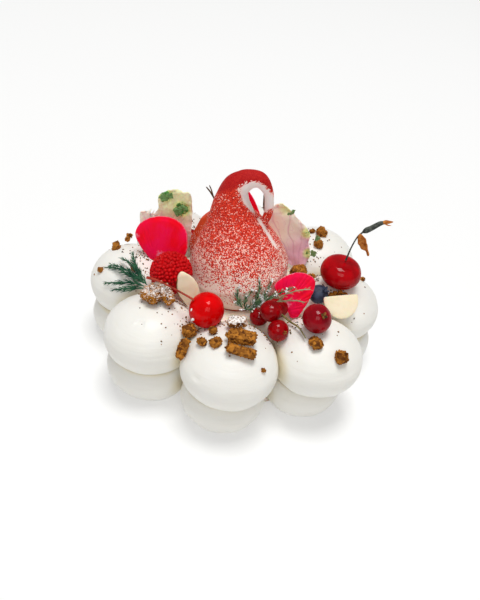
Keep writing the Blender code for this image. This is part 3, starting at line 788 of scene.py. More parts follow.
def cream_floor(upper, lower):
    """The cream inside the ring, hollowed where the balls press into it."""
    profile = [(0.0, CORE_TOP)]
    profile += [(reach, CORE_TOP - 2.0 * smooth_step(reach, 26, 39)) for reach in range(2, 40, 2)]
    profile += [(CORE_RADIUS, height) for height in range(30, -1, -2)]
    columns = 192
    turn = np.linspace(0, 2 * np.pi, columns, endpoint=False)
    across = np.stack([np.cos(turn), np.sin(turn)], -1)
    rings = []
    for reach, height in profile[1:]:
        limit = np.full(columns, reach)
        for level, centres in ((UPPER, upper), (LOWER, lower)):
            for centre, radius in zip(centres, level["radii"]):
                rise = (height - centre[2]) / level["squash"]
                middle = across @ centre[:2]
                inside = middle ** 2 - (centre[:2] @ centre[:2] - radius ** 2 + rise ** 2)
                entry = middle - np.sqrt(np.clip(inside, 0, None)) - GAP
                limit = np.where((inside > 0) & (middle > 0), np.minimum(limit, entry), limit)
        ring = np.column_stack([across * limit[:, None], np.full(columns, float(height))])
        rings.append(ring)
    lumps = 0.5 * uneven(np.vstack(rings), 5, 61)
    points = np.vstack(rings[::-1])
    lumps = 0.5 * uneven(points, 5, 61) * (points[:, 2] > 30)
    points[:, 2] += lumps
    points = np.vstack([[(0, 0, 0)], points, [(0, 0, CORE_TOP)]])
    core = make_piece("cream_filling", points, skin_faces(columns, len(rings)), CREAM)
    return show(core, "cream", "cream_core")


# The sprayed swirl

FOLD_THICKNESS = 2.0
FOLD_TOP = 72.0
FOLD_FOOT = 47.0
FOLD_START = 80.0             # degrees round from the front, to the right
FOLD_END = 262.0
SWIRL_COLUMNS = 128
VOXEL = 0.37


def round_angle(points):
    """Degrees round the swirl from the front, to the right, at each point, from 0 to 360."""
    middle = np.interp(points[:, 2], [s[1] for s in SWIRL_BODY], [s[0] for s in SWIRL_BODY])
    return np.degrees(np.arctan2(points[:, 0] - middle, -(points[:, 1] - SWIRL_DEPTH))) % 360


def swirl_skin(name, stations, folded):
    """A closed skin of round rings across the stations' centre line."""
    line = spline(stations, 12)
    turn = np.linspace(0, 2 * np.pi, SWIRL_COLUMNS, endpoint=False)
    degrees = np.degrees(turn)
    inside = np.minimum(degrees - FOLD_START, FOLD_END - degrees)
    edge = smooth_step(inside, 0, 5) if folded else np.zeros(SWIRL_COLUMNS)
    edge *= np.interp(degrees, (FOLD_START, 150, 230), (0.45, 0.6, 1.5))
    rings = []
    for i, here in enumerate(line):
        along = line[min(i + 1, len(line) - 1)] - line[max(i - 1, 0)]
        run = math.hypot(along[0], along[1])
        across = np.array([along[1], 0, -along[0]]) / run
        middle = np.array([here[0], SWIRL_DEPTH, here[1]])
        fade = np.clip((FOLD_TOP - middle[2]) / 2.5, 0, 1) * np.clip((middle[2] - FOLD_FOOT) / 9, 0, 1)
        reach = here[2] + FOLD_THICKNESS * edge * fade
        ring = middle + reach[:, None] * (np.outer(np.sin(turn), across)
                                          + np.outer(-np.cos(turn), (0, 1, 0)))
        rings.append(ring)
    if folded:
        x, height, radius = SWIRL_BODY[0]
        lean = rings[0][:, 2] - CORE_TOP - GAP
        for share in np.linspace(1, 0, 24)[1:]:
            level = CORE_TOP + GAP + lean * share
            reach = np.sqrt(radius ** 2 - (height - level) ** 2)
            foot = np.column_stack([x + reach * np.sin(turn), SWIRL_DEPTH - reach * np.cos(turn),
                                    level])
            rings.insert(0, foot)
    ends = rings[0].mean(0), rings[-1].mean(0)
    points = np.vstack([ends[0], *rings, ends[1]])
    return make_piece(name, points, skin_faces(SWIRL_COLUMNS, len(rings)), SPRAY)


def seen_height(points):
    """The height at the swirl's middle depth that lies behind each point, looking down at 39
    degrees from the front, and the same from the back: the hook's loop frames things so."""
    return points[:, 2] - 0.81 * np.abs(points[:, 1] - SWIRL_DEPTH)


def hook_rim(points):
    """How far points lie outside the hook's loop, less the width left unsprayed there."""
    side = points[:, 0] - HOOK_HOLE[0]
    rise = seen_height(points) - HOOK_HOLE[1]
    angle = np.degrees(np.arctan2(rise, side))
    width = np.interp(angle, (-180, -135, -97, -60, -20, 0, 45, 90, 112, 154, 180),
                      (7.2, 6.3, 7.2, 6.6, 9.0, 9.6, 7.6, 8.6, 9.4, 9.3, 7.2))
    return np.hypot(side, rise) - width


def crease_streak(points):
    """The pale line where the fold's edge was scraped, from the hook's tip down the right."""
    top = np.array((4.2, 72.6))
    foot = np.array((14.4, 57.6))
    run = foot - top
    place = np.column_stack([points[:, 0], seen_height(points)]) - top
    along = place @ run / (run @ run)
    off = (place[:, 0] * run[1] - place[:, 1] * run[0]) / np.linalg.norm(run)
    front = 1 - smooth_step(points[:, 1], 0, 3)
    return np.exp(-(off / 0.75) ** 2) * front * smooth_step(along, -0.1, 0.05) * (
        1 - smooth_step(along, 0.8, 1.1))


def centre_swirl():
    """The tall drop with its thin tip curled over, as one skin, and where the spray reached it."""
    swirl = joined("centre_swirl_skin", [swirl_skin("body", SWIRL_BODY, True),
                                         swirl_skin("hook", SWIRL_HOOK, False)])
    merge = swirl.modifiers.new("one_skin", "REMESH")
    merge.mode = "VOXEL"
    merge.voxel_size = VOXEL * MM
    calm = swirl.modifiers.new("calm", "SMOOTH")
    calm.factor = 0.5
    calm.iterations = 5
    swirl = settle(swirl)
    swirl.data.shade_smooth()
    points = points_of(swirl)
    outward = normals_of(swirl)
    swell = 0.3 * uneven(points, 9, 71) * smooth_step(points[:, 2], 36, 40)
    points += outward * swell[:, None]
    points[:, 2] = np.maximum(points[:, 2], CORE_TOP + GAP)
    move_points(swirl, points)
    height = points[:, 2]
    angle = round_angle(points)
    spray = np.interp(height, (35, 39, 43, 48, 55, 63, 72, 80, 96),
                      (0.01, 0.03, 0.07, 0.17, 0.35, 0.58, 0.74, 0.83, 0.9))
    front_left = smooth_step(angle, 290, 330)
    spray -= 0.04 * front_left * (1 - smooth_step(height, 44, 54))
    crest = smooth_step(points[:, 2] - np.interp(points[:, 0], (-20, -8, 0, 8), (80, 88, 91, 86)), 0, 4)
    spray += 0.35 * crest * smooth_step(outward[:, 2], -0.1, 0.4)
    ragged = 1.0 * uneven(points, 1.2, 73)
    bare = (1 - smooth_step(hook_rim(points) + ragged, -2.6, 1.4)) * smooth_step(height, 68, 72)
    streak = crease_streak(points)
    amber = smooth_step(angle, 225, 250) * (1 - smooth_step(angle, 268, 285))
    amber *= smooth_step(height, 42, 52) * (1 - smooth_step(height, 66, 74))
    spray += 0.3 * amber
    set_values(swirl, spray=spray, bare=np.maximum(bare, 0.85 * streak), amber=0.75 * amber)
    return show(swirl, "sprayed_cream", "centre_swirl")


def syrup_line():
    """A thread of red-brown syrup that has gathered along the front of the swirl's foot."""
    x, height, radius = SWIRL_BODY[0]
    reach = math.sqrt(radius ** 2 - (height - CORE_TOP) ** 2) + 0.2
    route = []
    for degrees in range(-62, 63, 4):
        angle = math.radians(degrees)
        thick = 0.32 * math.cos(angle * 1.2) + 0.05
        route.append((x + reach * math.sin(angle), SWIRL_DEPTH - reach * math.cos(angle),
                      CORE_TOP + 0.35, thick))
    return show(tube("syrup_line", route, SYRUP, 8, 3), "oat_biscuit")


# Fruit

def middle_and_radius(node):
    """A solid's middle and its largest half size, in millimetres."""
    low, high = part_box(node)
    return np.array((low + high) / 2) / MM, max(high - low) / 2 / MM


def round_fruit(name, node, slot, material, height=1.0, dimple=0.0, shoulder=0.0, turn=(0, 0, 0),
                lumps=0.012, seed=1, swell=1.0):
    """A cherry or a berry: nearly round, dimpled where its stem grows, with a faint seam."""
    centre, radius = middle_and_radius(node)
    unit = round_points(72, 44)
    azimuth = np.arctan2(unit[:, 1], unit[:, 0])
    from_stem = np.arccos(np.clip(unit[:, 2], -1, 1))
    form = 1 - dimple * np.exp(-(from_stem / 0.42) ** 2)
    form += shoulder * np.exp(-((from_stem - 0.85) / 0.45) ** 2)
    form -= 0.012 * np.exp(-(azimuth / 0.22) ** 2) * np.sin(from_stem)
    form += lumps * uneven(unit, 0.9, seed)
    points = unit * (form * radius * swell)[:, None] * (1, 1, height)
    fruit = make_piece(name, placed(points, centre, turn), skin_faces(72, 44), material)
    return show(fruit, slot, node)


def calyx(name, centre, turn, size, lobes, material, slot):
    """The dried crown where a berry's flower was: a small ragged cup of lobes."""
    unit = np.linspace(0.15, 1, 6)
    turns = np.linspace(0, 2 * np.pi, 40, endpoint=False)
    rings = []
    for reach in unit:
        lobe = 1 + 0.3 * reach * np.cos(lobes * turns)
        rise = 0.55 * reach ** 2 + 0.1 * np.cos(lobes * turns) * reach
        rings.append(np.column_stack([reach * lobe * np.cos(turns), reach * lobe * np.sin(turns),
                                      rise]) * size)
    points = placed(np.vstack(rings), centre, turn)
    crown = make_piece(name, points, ring_faces(40, len(unit)), material)
    wall = crown.modifiers.new("wall", "SOLIDIFY")
    wall.thickness = 0.16 * size * MM
    wall.offset = 0.0
    return show(settle(crown), slot)


def raspberry(name, node, turn):
    """A raspberry: many small drupelets packed over a blunt cone with a fold down its side."""
    centre, radius = middle_and_radius(node)
    unit = round_points(64, 40)
    azimuth = np.arctan2(unit[:, 1], unit[:, 0])
    form = radius * 0.93 * (1 - 0.06 * unit[:, 2]) * (1 - 0.1 * np.exp(-((azimuth + 1.35) / 0.16) ** 2))
    points = unit * form[:, None] * (1, 1, 1.02)
    core = make_piece(name + "_core", placed(points, centre, turn), skin_faces(64, 40), RASPBERRY,
                      {"cover": np.ones(len(points))})
    berry = grow(name, core, SCATTER, grain=DRUPELET, spacing=0.00135, density=2.5e6, smallest=0.84,
                 largest=1.02, tumble=0.3, seed=4, finish=RASPBERRY, keep_surface=True)
    bpy.data.objects.remove(core)
    berry.data.shade_smooth()
    return show(berry, "raspberry", node)


# Petals, leaves and nuts

def closed_outline(corners, count):
    """Evenly numbered points on a smooth closed curve through the corners."""
    corners = np.asarray(corners, float)
    steps = 12
    chain = np.vstack([corners[-1:], corners, corners[:2]])
    points = []
    for i in range(1, len(chain) - 2):
        before, start, end, after = chain[i - 1:i + 3]
        for t in np.arange(steps) / steps:
            points.append(0.5 * (2 * start + (end - before) * t
                                 + (2 * before - 5 * start + 4 * end - after) * t ** 2
                                 + (3 * start - before - 3 * end + after) * t ** 3))
    points = np.array(points)
    pace = np.append(0, np.cumsum(np.linalg.norm(np.diff(np.vstack([points, points[:1]]), axis=0), axis=1)))
    where = np.linspace(0, pace[-1], count, endpoint=False)
    loop = np.vstack([points, points[:1]])
    return np.column_stack([np.interp(where, pace, loop[:, 0]), np.interp(where, pace, loop[:, 1])])


def sheet(name, corners, hub, bend, centre, turn, thickness, material, rings=30, count=160):
    """A thin petal or leaf. bend takes the across and up places and the share of the way from the
    hub to the edge, and returns how far each point stands forward and its named values."""
    rim = closed_outline(corners, count)
    shares = np.linspace(0, 1, rings + 1)[1:] ** 0.85
    flat = np.vstack([[hub]] + [hub + (rim - hub) * share for share in shares])
    edge = np.concatenate([[0]] + [np.full(count, share) for share in shares])
    forward, values = bend(flat[:, 0], flat[:, 1], edge)
    points = placed(np.column_stack([flat[:, 0], -forward, flat[:, 1]]), centre, turn)
    faces = [(0, 1 + k, 1 + (k + 1) % count) for k in range(count)]
    for ring in range(rings - 1):
        low = 1 + ring * count
        for k in range(count):
            right = (k + 1) % count
            faces.append((low + k, low + count + k, low + count + right, low + right))
    piece = make_piece(name, points, faces, material, values)
    wall = piece.modifiers.new("wall", "SOLIDIFY")
    wall.thickness = thickness * MM
    wall.offset = 0.0
    wall.use_even_offset = True
    return settle(piece)


def petal_bend(base, cup, curl, ridge, pale_spots_and_highlight, seed):
    """The cup, curled rim and fine ridges of a rose petal."""
    def bend(across, up, edge):
        fan = np.degrees(np.arctan2(across - base[0], up - base[1]))
        crown = cup * (1 - (across / 12) ** 2) * 0.6 - curl * smooth_step(edge, 0.75, 1) * 0.8
        ridges = ridge * np.sin(fan * 0.8 + 2 * np.sin(fan * 0.21)) * smooth_step(edge, 0.1, 0.4)
        flat = np.column_stack([across, up, np.full(len(across), seed * 3.0)])
        ripple = 0.35 * uneven(flat, 5, seed) * edge ** 2
        pale = 0.5 * smooth_step(edge, 0.95, 1.0)
        # Pale spots: the left petal's spot in its lower middle is a painted highlight, the others are the
        # petal's own pale marks
        for x, z, size in pale_spots_and_highlight:
            near = np.hypot(across - x, (up - z) * 1.3) / size
            pale = np.maximum(pale, 0.65 * (1 - smooth_step(near, 0.2, 1.1)))
        return crown + ridges + ripple, {"pale": pale, "fan": fan * 0.9}
    return bend


def leaf_bend(base, ribs, lilac_from, greens, ruffle, seed):
    """Kale: ribs that fan from the base, a ruffled edge, a lilac part and patches of green frill."""
    def bend(across, up, edge):
        fan = np.degrees(np.arctan2(across - base[0], up - base[1]))
        reach = np.hypot(across - base[0], up - base[1])
        flat = np.column_stack([across, up, np.full(len(across), seed * 3.0)])
        wander = 5 * uneven(flat, 9, seed)
        vein = np.zeros(len(across))
        for rib in ribs:
            off = np.radians(fan + wander - rib) * reach
            vein = np.maximum(vein, np.exp(-(off / 0.28) ** 2) * (1 - 0.5 * edge))
        branch = np.abs(uneven(flat * (1, 0.6, 1), 3.2, seed + 1))
        vein = np.maximum(0.75 * vein, 0.45 * (1 - smooth_step(branch, 0, 0.045)))
        lilac = smooth_step((across - lilac_from[0]) * 0.6 - (up - lilac_from[1]), -6, 9)
        green = np.zeros(len(across))
        for x, z, size, strength in greens:
            near = np.hypot(across - x, up - z) / size
            green = np.maximum(green, strength * (1 - smooth_step(near, 0.3, 1.6)))
        waves = ruffle * smooth_step(edge, 0.5, 1) * np.sin(np.radians(fan) * 9 + 0.4 * up)
        frills = 0.9 * smooth_step(edge, 0.82, 1) * uneven(flat, 1.6, seed + 2)
        puckers = 1.1 * green * uneven(flat, 1.1, seed + 3)
        folds = 0.5 * uneven(flat, 6, seed + 4) - 0.18 * vein
        return waves + frills + puckers + folds, {"vein": vein, "lilac": lilac, "green": green}
    return bend


def frill(name, centre, turn, size, seed):
    """A scrap of curled green kale edge."""
    corners = [(size[0] * math.cos(a) * (0.8 + 0.25 * math.cos(3 * a + seed)),
                size[1] * math.sin(a) * (0.8 + 0.25 * math.sin(4 * a + seed)))
               for a in np.linspace(0, 2 * math.pi, 13)[:-1]]

    def bend(across, up, edge):
        flat = np.column_stack([across, up, np.full(len(across), seed * 3.0)])
        return 0.9 * uneven(flat, 1.3, seed) * edge + 0.3 * uneven(flat, 0.6, seed + 1), {}
    piece = sheet(name, corners, (0, 0), bend, centre, turn, 0.25, FRILL, 14, 90)
    return show(piece, "kale")


def almond(name, node, turn, width, height, thickness, skin_side, tip=1, cut=2.0):
    """A thick slice of almond, narrow at its upper or lower tip, with brown skin on one edge.
    A cut under 1 leaves off its top, as a share of its half height."""
    centre = middle_and_radius(node)[0]
    unit = round_points(64, 48)
    swap = unit[:, [0, 2, 1]] * (1, -1, 1)
    point = np.clip(tip * swap[:, 2], 0, None)
    rise = soft_limit(swap[:, 2], cut, 0.2)
    rise -= (rise.max() + rise.min()) / 2
    form = np.column_stack([swap[:, 0] * (1 - 0.32 * point ** 1.5) * width / 2,
                            np.sign(swap[:, 1]) * np.abs(swap[:, 1]) ** 0.45 * thickness / 2,
                            rise * height / 2])
    form += 0.12 * uneven(form, 2.2, 9)[:, None]
    rim = smooth_step(np.hypot(swap[:, 0], swap[:, 2]), 0.86, 0.97)
    side = smooth_step(skin_side[0] * swap[:, 0] + skin_side[1] * swap[:, 2], 0.55, 0.8)
    nut = make_piece(name, placed(form, centre, turn), skin_faces(64, 48), ALMOND,
                     {"skin": rim * side})
    return show(nut, "almond", node)


# Biscuit and crumbs

def oat_lump(name, centre, turn, size, seed, dust=0.0, blockiness=0.45, columns=48, rings=30):
    """A broken lump of oat biscuit: a rough block, with toasted grains sunk into it."""
    unit = round_points(columns, rings)
    box = np.abs(unit).max(1)
    form = (1 - blockiness) + blockiness / box * 0.8
    form += 0.2 * uneven(unit, 0.55, seed) + 0.1 * uneven(unit, 0.22, seed + 1)
    points = unit * form[:, None] * np.array(size) / 2 * 0.9
    body = make_piece(name + "_body", placed(points, centre, turn), skin_faces(columns, rings), OATS,
                      {"cover": np.ones(len(points))})
    lump = grow(name, body, SCATTER, grain=GRAIN, spacing=0.0008, density=1.6e6, smallest=0.2,
                largest=0.52, tumble=1.5, seed=seed, finish=OATS, keep_surface=True)
    bpy.data.objects.remove(body)
    lump.data.shade_smooth()
    up = smooth_step(normals_of(lump)[:, 2], -0.1, 0.7)
    set_values(lump, dust=dust * up)
    return lump


# Where the parts of a cluster lie and their sizes, as shares of the whole
CLUSTER = (((-0.62, 0.1, -0.1), (0.42, 0.6, 0.6)), ((-0.2, -0.4, 0.15), (0.46, 0.55, 0.7)),
           ((0.25, 0.3, 0.1), (0.5, 0.6, 0.75)), ((0.6, -0.1, -0.05), (0.42, 0.6, 0.6)),
           ((0.0, 0.55, 0.3), (0.36, 0.45, 0.5)), ((-0.35, 0.5, 0.2), (0.3, 0.4, 0.5)))


def biscuits():
    """The larger lumps, each in place of its solid."""
    for key, turn, size, dust in (("block_high", (14, 3, 2), (15.4, 6.8, 6.0), 0.25),
                                  ("block_low", (24, 9, -2), (15.8, 5.0, 4.4), 0.1),
                                  ("dusted", (0, 0, 8), (9.8, 6.2, 5.4), 0.8),
                                  ("cluster_left", (4, 4, 16), (15.4, 12.0, 10.6), 0.66),
                                  ("cluster_right", (0, 6, 8), (11.4, 5.4, 5.0), 0.15),
                                  ("behind_petal", (0, 0, 20), (9.6, 7.0, 6.6), 0.2),
                                  ("crease_round", (0, 0, 30), (6.8, 6.6, 6.4), 0.1),
                                  ("crease_long", (52, 8, -14), (5.0, 10.6, 5.0), 0.1),
                                  ("back", (-10, 6, 40), (10.0, 8.0, 6.0), 0.3)):
        node = "biscuit_" + key
        centre = middle_and_radius(node)[0]
        square = 0.85 if key.startswith("block") else 0.45
        if key.startswith("cluster"):
            lumps = [oat_lump(f"part_{part}", centre + np.array(shift) * size / 2, (part * 40, 20, part * 70),
                              np.array(share) * size, 70 + part, dust, 0.4, 30, 20)
                     for part, (shift, share) in enumerate(CLUSTER)]
            lump = joined("oat_" + key, lumps)
        else:
            lump = oat_lump("oat_" + key, centre, turn, size, 3 * len(key) + int(size[0]), dust, square)
        show(lump, "oat_biscuit", node)


# Small lumps of biscuit on the balls, as x, y, height, and sizes across, along and up
SMALL_CRUMBS = ((-8.8, -47.2, 45.6, 4.2, 4.0, 3.6), (-12.6, -53.0, 43.8, 3.8, 5.4, 4.4),
                (-6.8, -54.2, 45.6, 6.0, 6.0, 4.4), (34.9, -46.0, 45.2, 7.8, 6.4, 4.6),
                (46.2, -49.4, 42.0, 6.4, 6.6, 6.4), (37.9, 37.6, 46.4, 6.6, 6.4, 5.6),
                (33.0, 39.0, 45.4, 4.6, 3.0, 2.4), (36.4, 28.6, 44.8, 5.4, 5.6, 4.8),
                (14.2, -60.8, 39.6, 2.2, 2.2, 2.0), (-61.2, 5.4, 42.8, 5.0, 5.4, 4.4),
                (-62.4, 9.6, 42.2, 4.0, 3.4, 3.0), (-65.8, -8.6, 39.6, 3.0, 3.0, 2.6),
                (-49.8, -10.2, 44.2, 2.8, 2.8, 2.6), (-57.0, 11.0, 45.0, 3.0, 3.0, 2.6),
                (29.0, 15.4, 38.0, 5.4, 4.0, 3.8), (33.5, 8.0, 38.6, 5.0, 4.6, 4.0),
                (-6.0, 52.0, 45.8, 4.6, 5.2, 3.6), (22.0, 52.4, 41.0, 3.4, 3.0, 2.8),
                (-34.0, 43.6, 45.0, 4.4, 3.8, 3.2), (-58.0, 20.5, 40.6, 3.0, 3.4, 2.6),
                (58.2, 8.2, 41.4, 3.2, 3.0, 2.6))


def small_crumbs():
    """All the small lumps, as one piece."""
    chance = random.Random(12)
    lumps = []
    for index, (x, y, height, *size) in enumerate(SMALL_CRUMBS):
        turn = [chance.uniform(-40, 40), chance.uniform(-40, 40), chance.uniform(0, 180)]
        lumps.append(oat_lump(f"crumb_{index}", (x, y, height), turn, size, 40 + index, 0.12, 0.35,
                              26, 16))
    return show(joined("small_oat_crumbs", lumps), "oat_biscuit")


def speck_ground(balls):
    """A hidden copy of the upper balls' tops, with how thickly specks lie on them."""
    copies = []
    for ball in balls:
        twin = bpy.data.objects.new("ground", ball.data.copy())
        SCENE.collection.objects.link(twin)
        copies.append(twin)
    ground = joined("speck_ground", copies)
    points = points_of(ground)
    reach = np.hypot(points[:, 0], points[:, 1])
    clumps = 0.5 + uneven(points, 7, 91) + 0.5 * uneven(points, 2.5, 92)
    cover = 0.8 * np.exp(-((reach - 35) / 14) ** 2) * np.clip(clumps, 0.15, 1) ** 1.3
    dusty = np.hypot(points[:, 0] + 47, points[:, 1] + 2)
    cover = np.maximum(cover, 0.9 * (1 - smooth_step(dusty, 3, 7)))
    cover *= smooth_step(points[:, 2], 33, 38)
    set_values(ground, cover=cover)
    return ground


def specks(ground):
    """Fine dark crumbs scattered round the well."""
    dust = grow("fine_crumb_specks", ground, SCATTER, grain=SPECK, spacing=0.0005, density=8e5,
                smallest=0.18, largest=0.56, tumble=1.5, seed=6, finish=SPECKS, keep_surface=False)
    return show(dust, "oat_biscuit")


# Herbs

def herb(name, ribs, seed, finish, longest, shortest, lean=0.5, spacing=1.1):
    """A feathery sprig: smooth ribs through the given points, with side threads grown on them."""
    curve = bpy.data.curves.new(name + "_ribs", "CURVE")
    curve.dimensions = "3D"
    for rib in ribs:
        line = spline(rib, 8)
        path = curve.splines.new("POLY")
        path.points.add(len(line) - 1)
        for point, place in zip(path.points, line):
            point.co = (*(place * MM), 1)
    carrier = bpy.data.objects.new(name + "_ribs", curve)
    sprig = grow(name, carrier, FROND, thread=THREAD, spacing=spacing * MM, lean=lean,
                 longest=longest, shortest=shortest, rib_radius=0.26 * MM, seed=seed, finish=finish)
    bpy.data.objects.remove(carrier)
    sprig.data.shade_smooth()
    return sprig


def frost(sprig, name, share, seed):
    """Grains of icing sugar caught on the threads of a sprig."""
    points = points_of(sprig)
    cover = smooth_step(uneven(points, 3.0, seed), 0.5 - share, 0.9 - share)
    set_values(sprig, cover=cover)
    sugar = grow(name, sprig, SCATTER, grain=CRYSTAL, spacing=0.0004, density=6e6, smallest=0.16,
                 largest=0.5, tumble=1.5, seed=seed, finish=SUGAR, keep_surface=False)
    return show(sugar, "meringue")


# The cake, put together

def stem(name, node, route, material, slot="stem", sides=8):
    """A thin stem or twig through a route of x, y, z and radius."""
    return show(tube(name, route, material, sides, 8), slot, *([node] if node else []))


upper_centres = ring_centres(UPPER)
lower_centres = ring_centres(LOWER)
upper_balls = [piped_ball("upper", UPPER, index, SEAM_HEIGHT + GAP / 2, 80.0) for index in range(8)]
for index in range(8):
    piped_ball("lower", LOWER, index, 0.0, SEAM_HEIGHT - GAP / 2)
cream_floor(upper_centres, lower_centres)
centre_swirl()
syrup_line()

round_fruit("cherry_bright_front", "cherry_front", "cherry_skin", CHERRY_BRIGHT, 0.96, 0.06, 0.0,
            (20, -50, 0), seed=1, swell=1.08)
round_fruit("cherry_deep_right", "cherry_right", "cherry_skin", CHERRY_DEEP, 0.75, 0.14, 0.04,
            (0, 6, 0), seed=2, swell=1.03)
round_fruit("cherry_bright_back", "cherry_back", "cherry_skin", CHERRY_BRIGHT, 0.94, 0.08, 0.02,
            (-10, -6, 0), seed=3)
stem("cherry_stem_front", "cherry_front_stem",
     [(-18.9, -37.6, 52.4, 0.6), (-19.5, -37.6, 53.2, 0.5), (-25, -35.3, 54.2, 0.42),
      (-30.5, -32.8, 54.8, 0.4), (-35.6, -30.4, 54.9, 0.48), (-40.4, -28.2, 54, 0.7)], RED_STEM)
stem("cherry_stem_right", "cherry_right_stem",
     [(46.2, -3.4, 59.6, 0.55), (46.4, -3.4, 60.6, 0.42), (47.3, -3.2, 66.5, 0.34),
      (48.9, -3.1, 72.5, 0.34), (51, -3, 75.6, 0.42)], STALK)
stem("cherry_stem_back", "cherry_back_stem",
     [(11, 33.2, 53, 0.6), (10.6, 32.8, 54.2, 0.5), (8, 28.6, 58.4, 0.45), (6.4, 25, 64.4, 0.45),
      (5.9, 22.5, 71, 0.5), (5.7, 21, 77, 0.6)], TWIG)
stem("woody_stalk", "cherry_right_stalk",
     [(50.6, -3.0, 75.2, 0.5), (51.9, -2.9, 76.2, 1.3), (54, -2.6, 77.6, 1.25), (57, -2.4, 80.2, 1.1),
      (58.6, -2.3, 81.0, 0.8)], STALK)
stem("woody_stalk_tip", None,
     [(58.2, -2.3, 80.8, 0.75), (59.6, -2.3, 81.4, 0.95), (61.0, -2.2, 81.6, 0.7),
      (62.6, -2.1, 81.9, 0.25)], BRACT)
stem("woody_stalk_splinter", None,
     [(58.8, -2.3, 80.9, 0.35), (60.6, -2.9, 80.4, 0.25), (62.0, -3.2, 80.6, 0.12)], BRACT)

# Two small white lumps on the front cherry's left side
for name, place, size in (("high", (-18.6, -40.4, 49.6), (1.3, 1.1, 0.9)),
                          ("low", (-17.6, -42.8, 46.6), (1.8, 1.0, 0.9))):
    unit = round_points(20, 12)
    points = unit * (1 + 0.3 * uneven(unit, 0.6, 81))[:, None] * np.array(size) * 0.7
    fleck = make_piece(f"sugar_fleck_{name}", placed(points, place, (30, -40, 20)), skin_faces(20, 12),
                       SUGAR)
    show(fleck, "meringue")
bract = sheet("dried_bract", ((-0.6, 5.2), (0.9, 4.0), (1.8, 1.2), (1.7, -1.6), (2.4, -4.2), (1.4, -5.2),
                              (0.2, -3.8), (-1.2, -2.4), (-1.9, 0.2), (-1.7, 3.0)), (0, 0),
              lambda across, up, edge: (0.45 * across ** 2 + 0.05 * up ** 2 + 0.3 * np.sin(up * 2),
                                        {}),
              (52.2, -3.8, 70.2), (0, -24, -20), 0.45, BRACT, 16, 90)
show(bract, "stem", "cherry_right_bract")

for name, turn, seed in (("left", (0, 0, 0), 11), ("top", (10, 0, 0), 12), ("bottom", (30, 20, 0), 13),
                         ("right", (0, 20, 0), 14), ("back_low", (0, 0, 0), 15),
                         ("back_high", (-20, 0, 0), 16)):
    round_fruit(f"currant_berry_{name}", "currant_" + name, "currant_skin", CURRANT, 0.97, 0.03, 0.0,
                turn, 0.01, seed, 1.07)
stem("currant_stem_thin", "currant_stem",
     [(19.6, -23.6, 39.6, 0.6), (21, -26, 40.6, 0.52), (23.9, -31.6, 42.6, 0.46),
      (27.4, -38.2, 45.5, 0.38), (30.4, -44.2, 45.4, 0.22)], GREEN_STEM)
round_fruit("cranberry_glossy", "cranberry", "cranberry_skin", CRANBERRY, 0.97, 0.02, 0.0, (0, 50, 0),
            seed=21)
calyx("cranberry_crown", (36.2, -41.4, 56.4), (35, 24, 0), 1.25, 4, SPECKS, "stem")
round_fruit("blueberry_bloomed", "blueberry", "blueberry_skin", BLUEBERRY, 0.9, 0.05, 0.0, (20, 0, 0),
            seed=22)
calyx("blueberry_crown", (38.4, -12.6, 48.0), (20, 30, 0), 1.5, 5, BLUEBERRY, "blueberry_skin")
calyx("currant_tuft", (21.4, -42.4, 45.4), (60, 30, 0), 0.8, 5, SPECKS, "stem")
raspberry("raspberry_left_berry", "raspberry_left", (-15, 10, 0))
raspberry("raspberry_back_berry", "raspberry_back", (10, -15, 0))

# The left petal's first pale spot, in its lower middle, is a painted highlight
petal = sheet("rose_petal_left_skin",
              ((4.1, -15.1), (9.5, -9.4), (12.1, -3.1), (11.5, 2.5), (10.2, 6.3), (7.2, 9.3),
               (2.8, 10.8), (-2.7, 10.3), (-7.2, 8.6), (-10.9, 5.9), (-12.8, 2.9), (-13.2, -1.1),
               (-10.6, -5.4), (-6.7, -9.3), (-2.6, -12.4)), (0, 0),
              petal_bend((1, -16), -2.2, 0.6, 0.05, ((1.0, -8.0, 4.5), (-13.0, -1.5, 2.6), (10.5, -8.5, 2.2)), 31), (-38.4, -0.2, 55.2), (-18, 3, -10),
              0.7, PETAL)
show(petal, "rose_petal", "rose_petal_left")
petal = sheet("rose_petal_right_skin",
              ((1.1, -11.1), (3.8, -5.7), (5.7, -0.8), (6.6, 3.3), (6.2, 6.7), (3.4, 8.8),
               (-1.4, 9.5), (-6.5, 7.8), (-10, 5.4), (-11.6, 3.3), (-11.7, 1.4), (-8.8, -2.2),
               (-6.7, -5.9), (-3.9, -9.2), (-1.9, -11.8)), (-2, 0),
              petal_bend((-7, -9), -1.6, 0.5, 0.16, ((-5.5, -5.5, 3.6),), 32), (27.2, -16.6, 47), (-24, 4, 8),
              0.7, PETAL)
show(petal, "rose_petal", "rose_petal_right")
petal = sheet("rose_petal_back_skin",
              ((1.5, -18.0), (6.0, -12.0), (8.6, -4.0), (8.8, 3.0), (6.4, 9.0), (2.6, 13.4),
               (-1.6, 14.8), (-5.0, 12.6), (-8.0, 8.6), (-10.4, 3.4), (-11.6, -2.0), (-8.4, -9.0),
               (-4.0, -15.0)), (-1, -2),
              petal_bend((0, -19), -2.0, 0.5, 0.08, ((1.0, -11.0, 4.5),), 33), (-6.5, 27.6, 57.4), (12, 6, 180),
              0.7, PETAL)
show(petal, "rose_petal", "rose_petal_back")

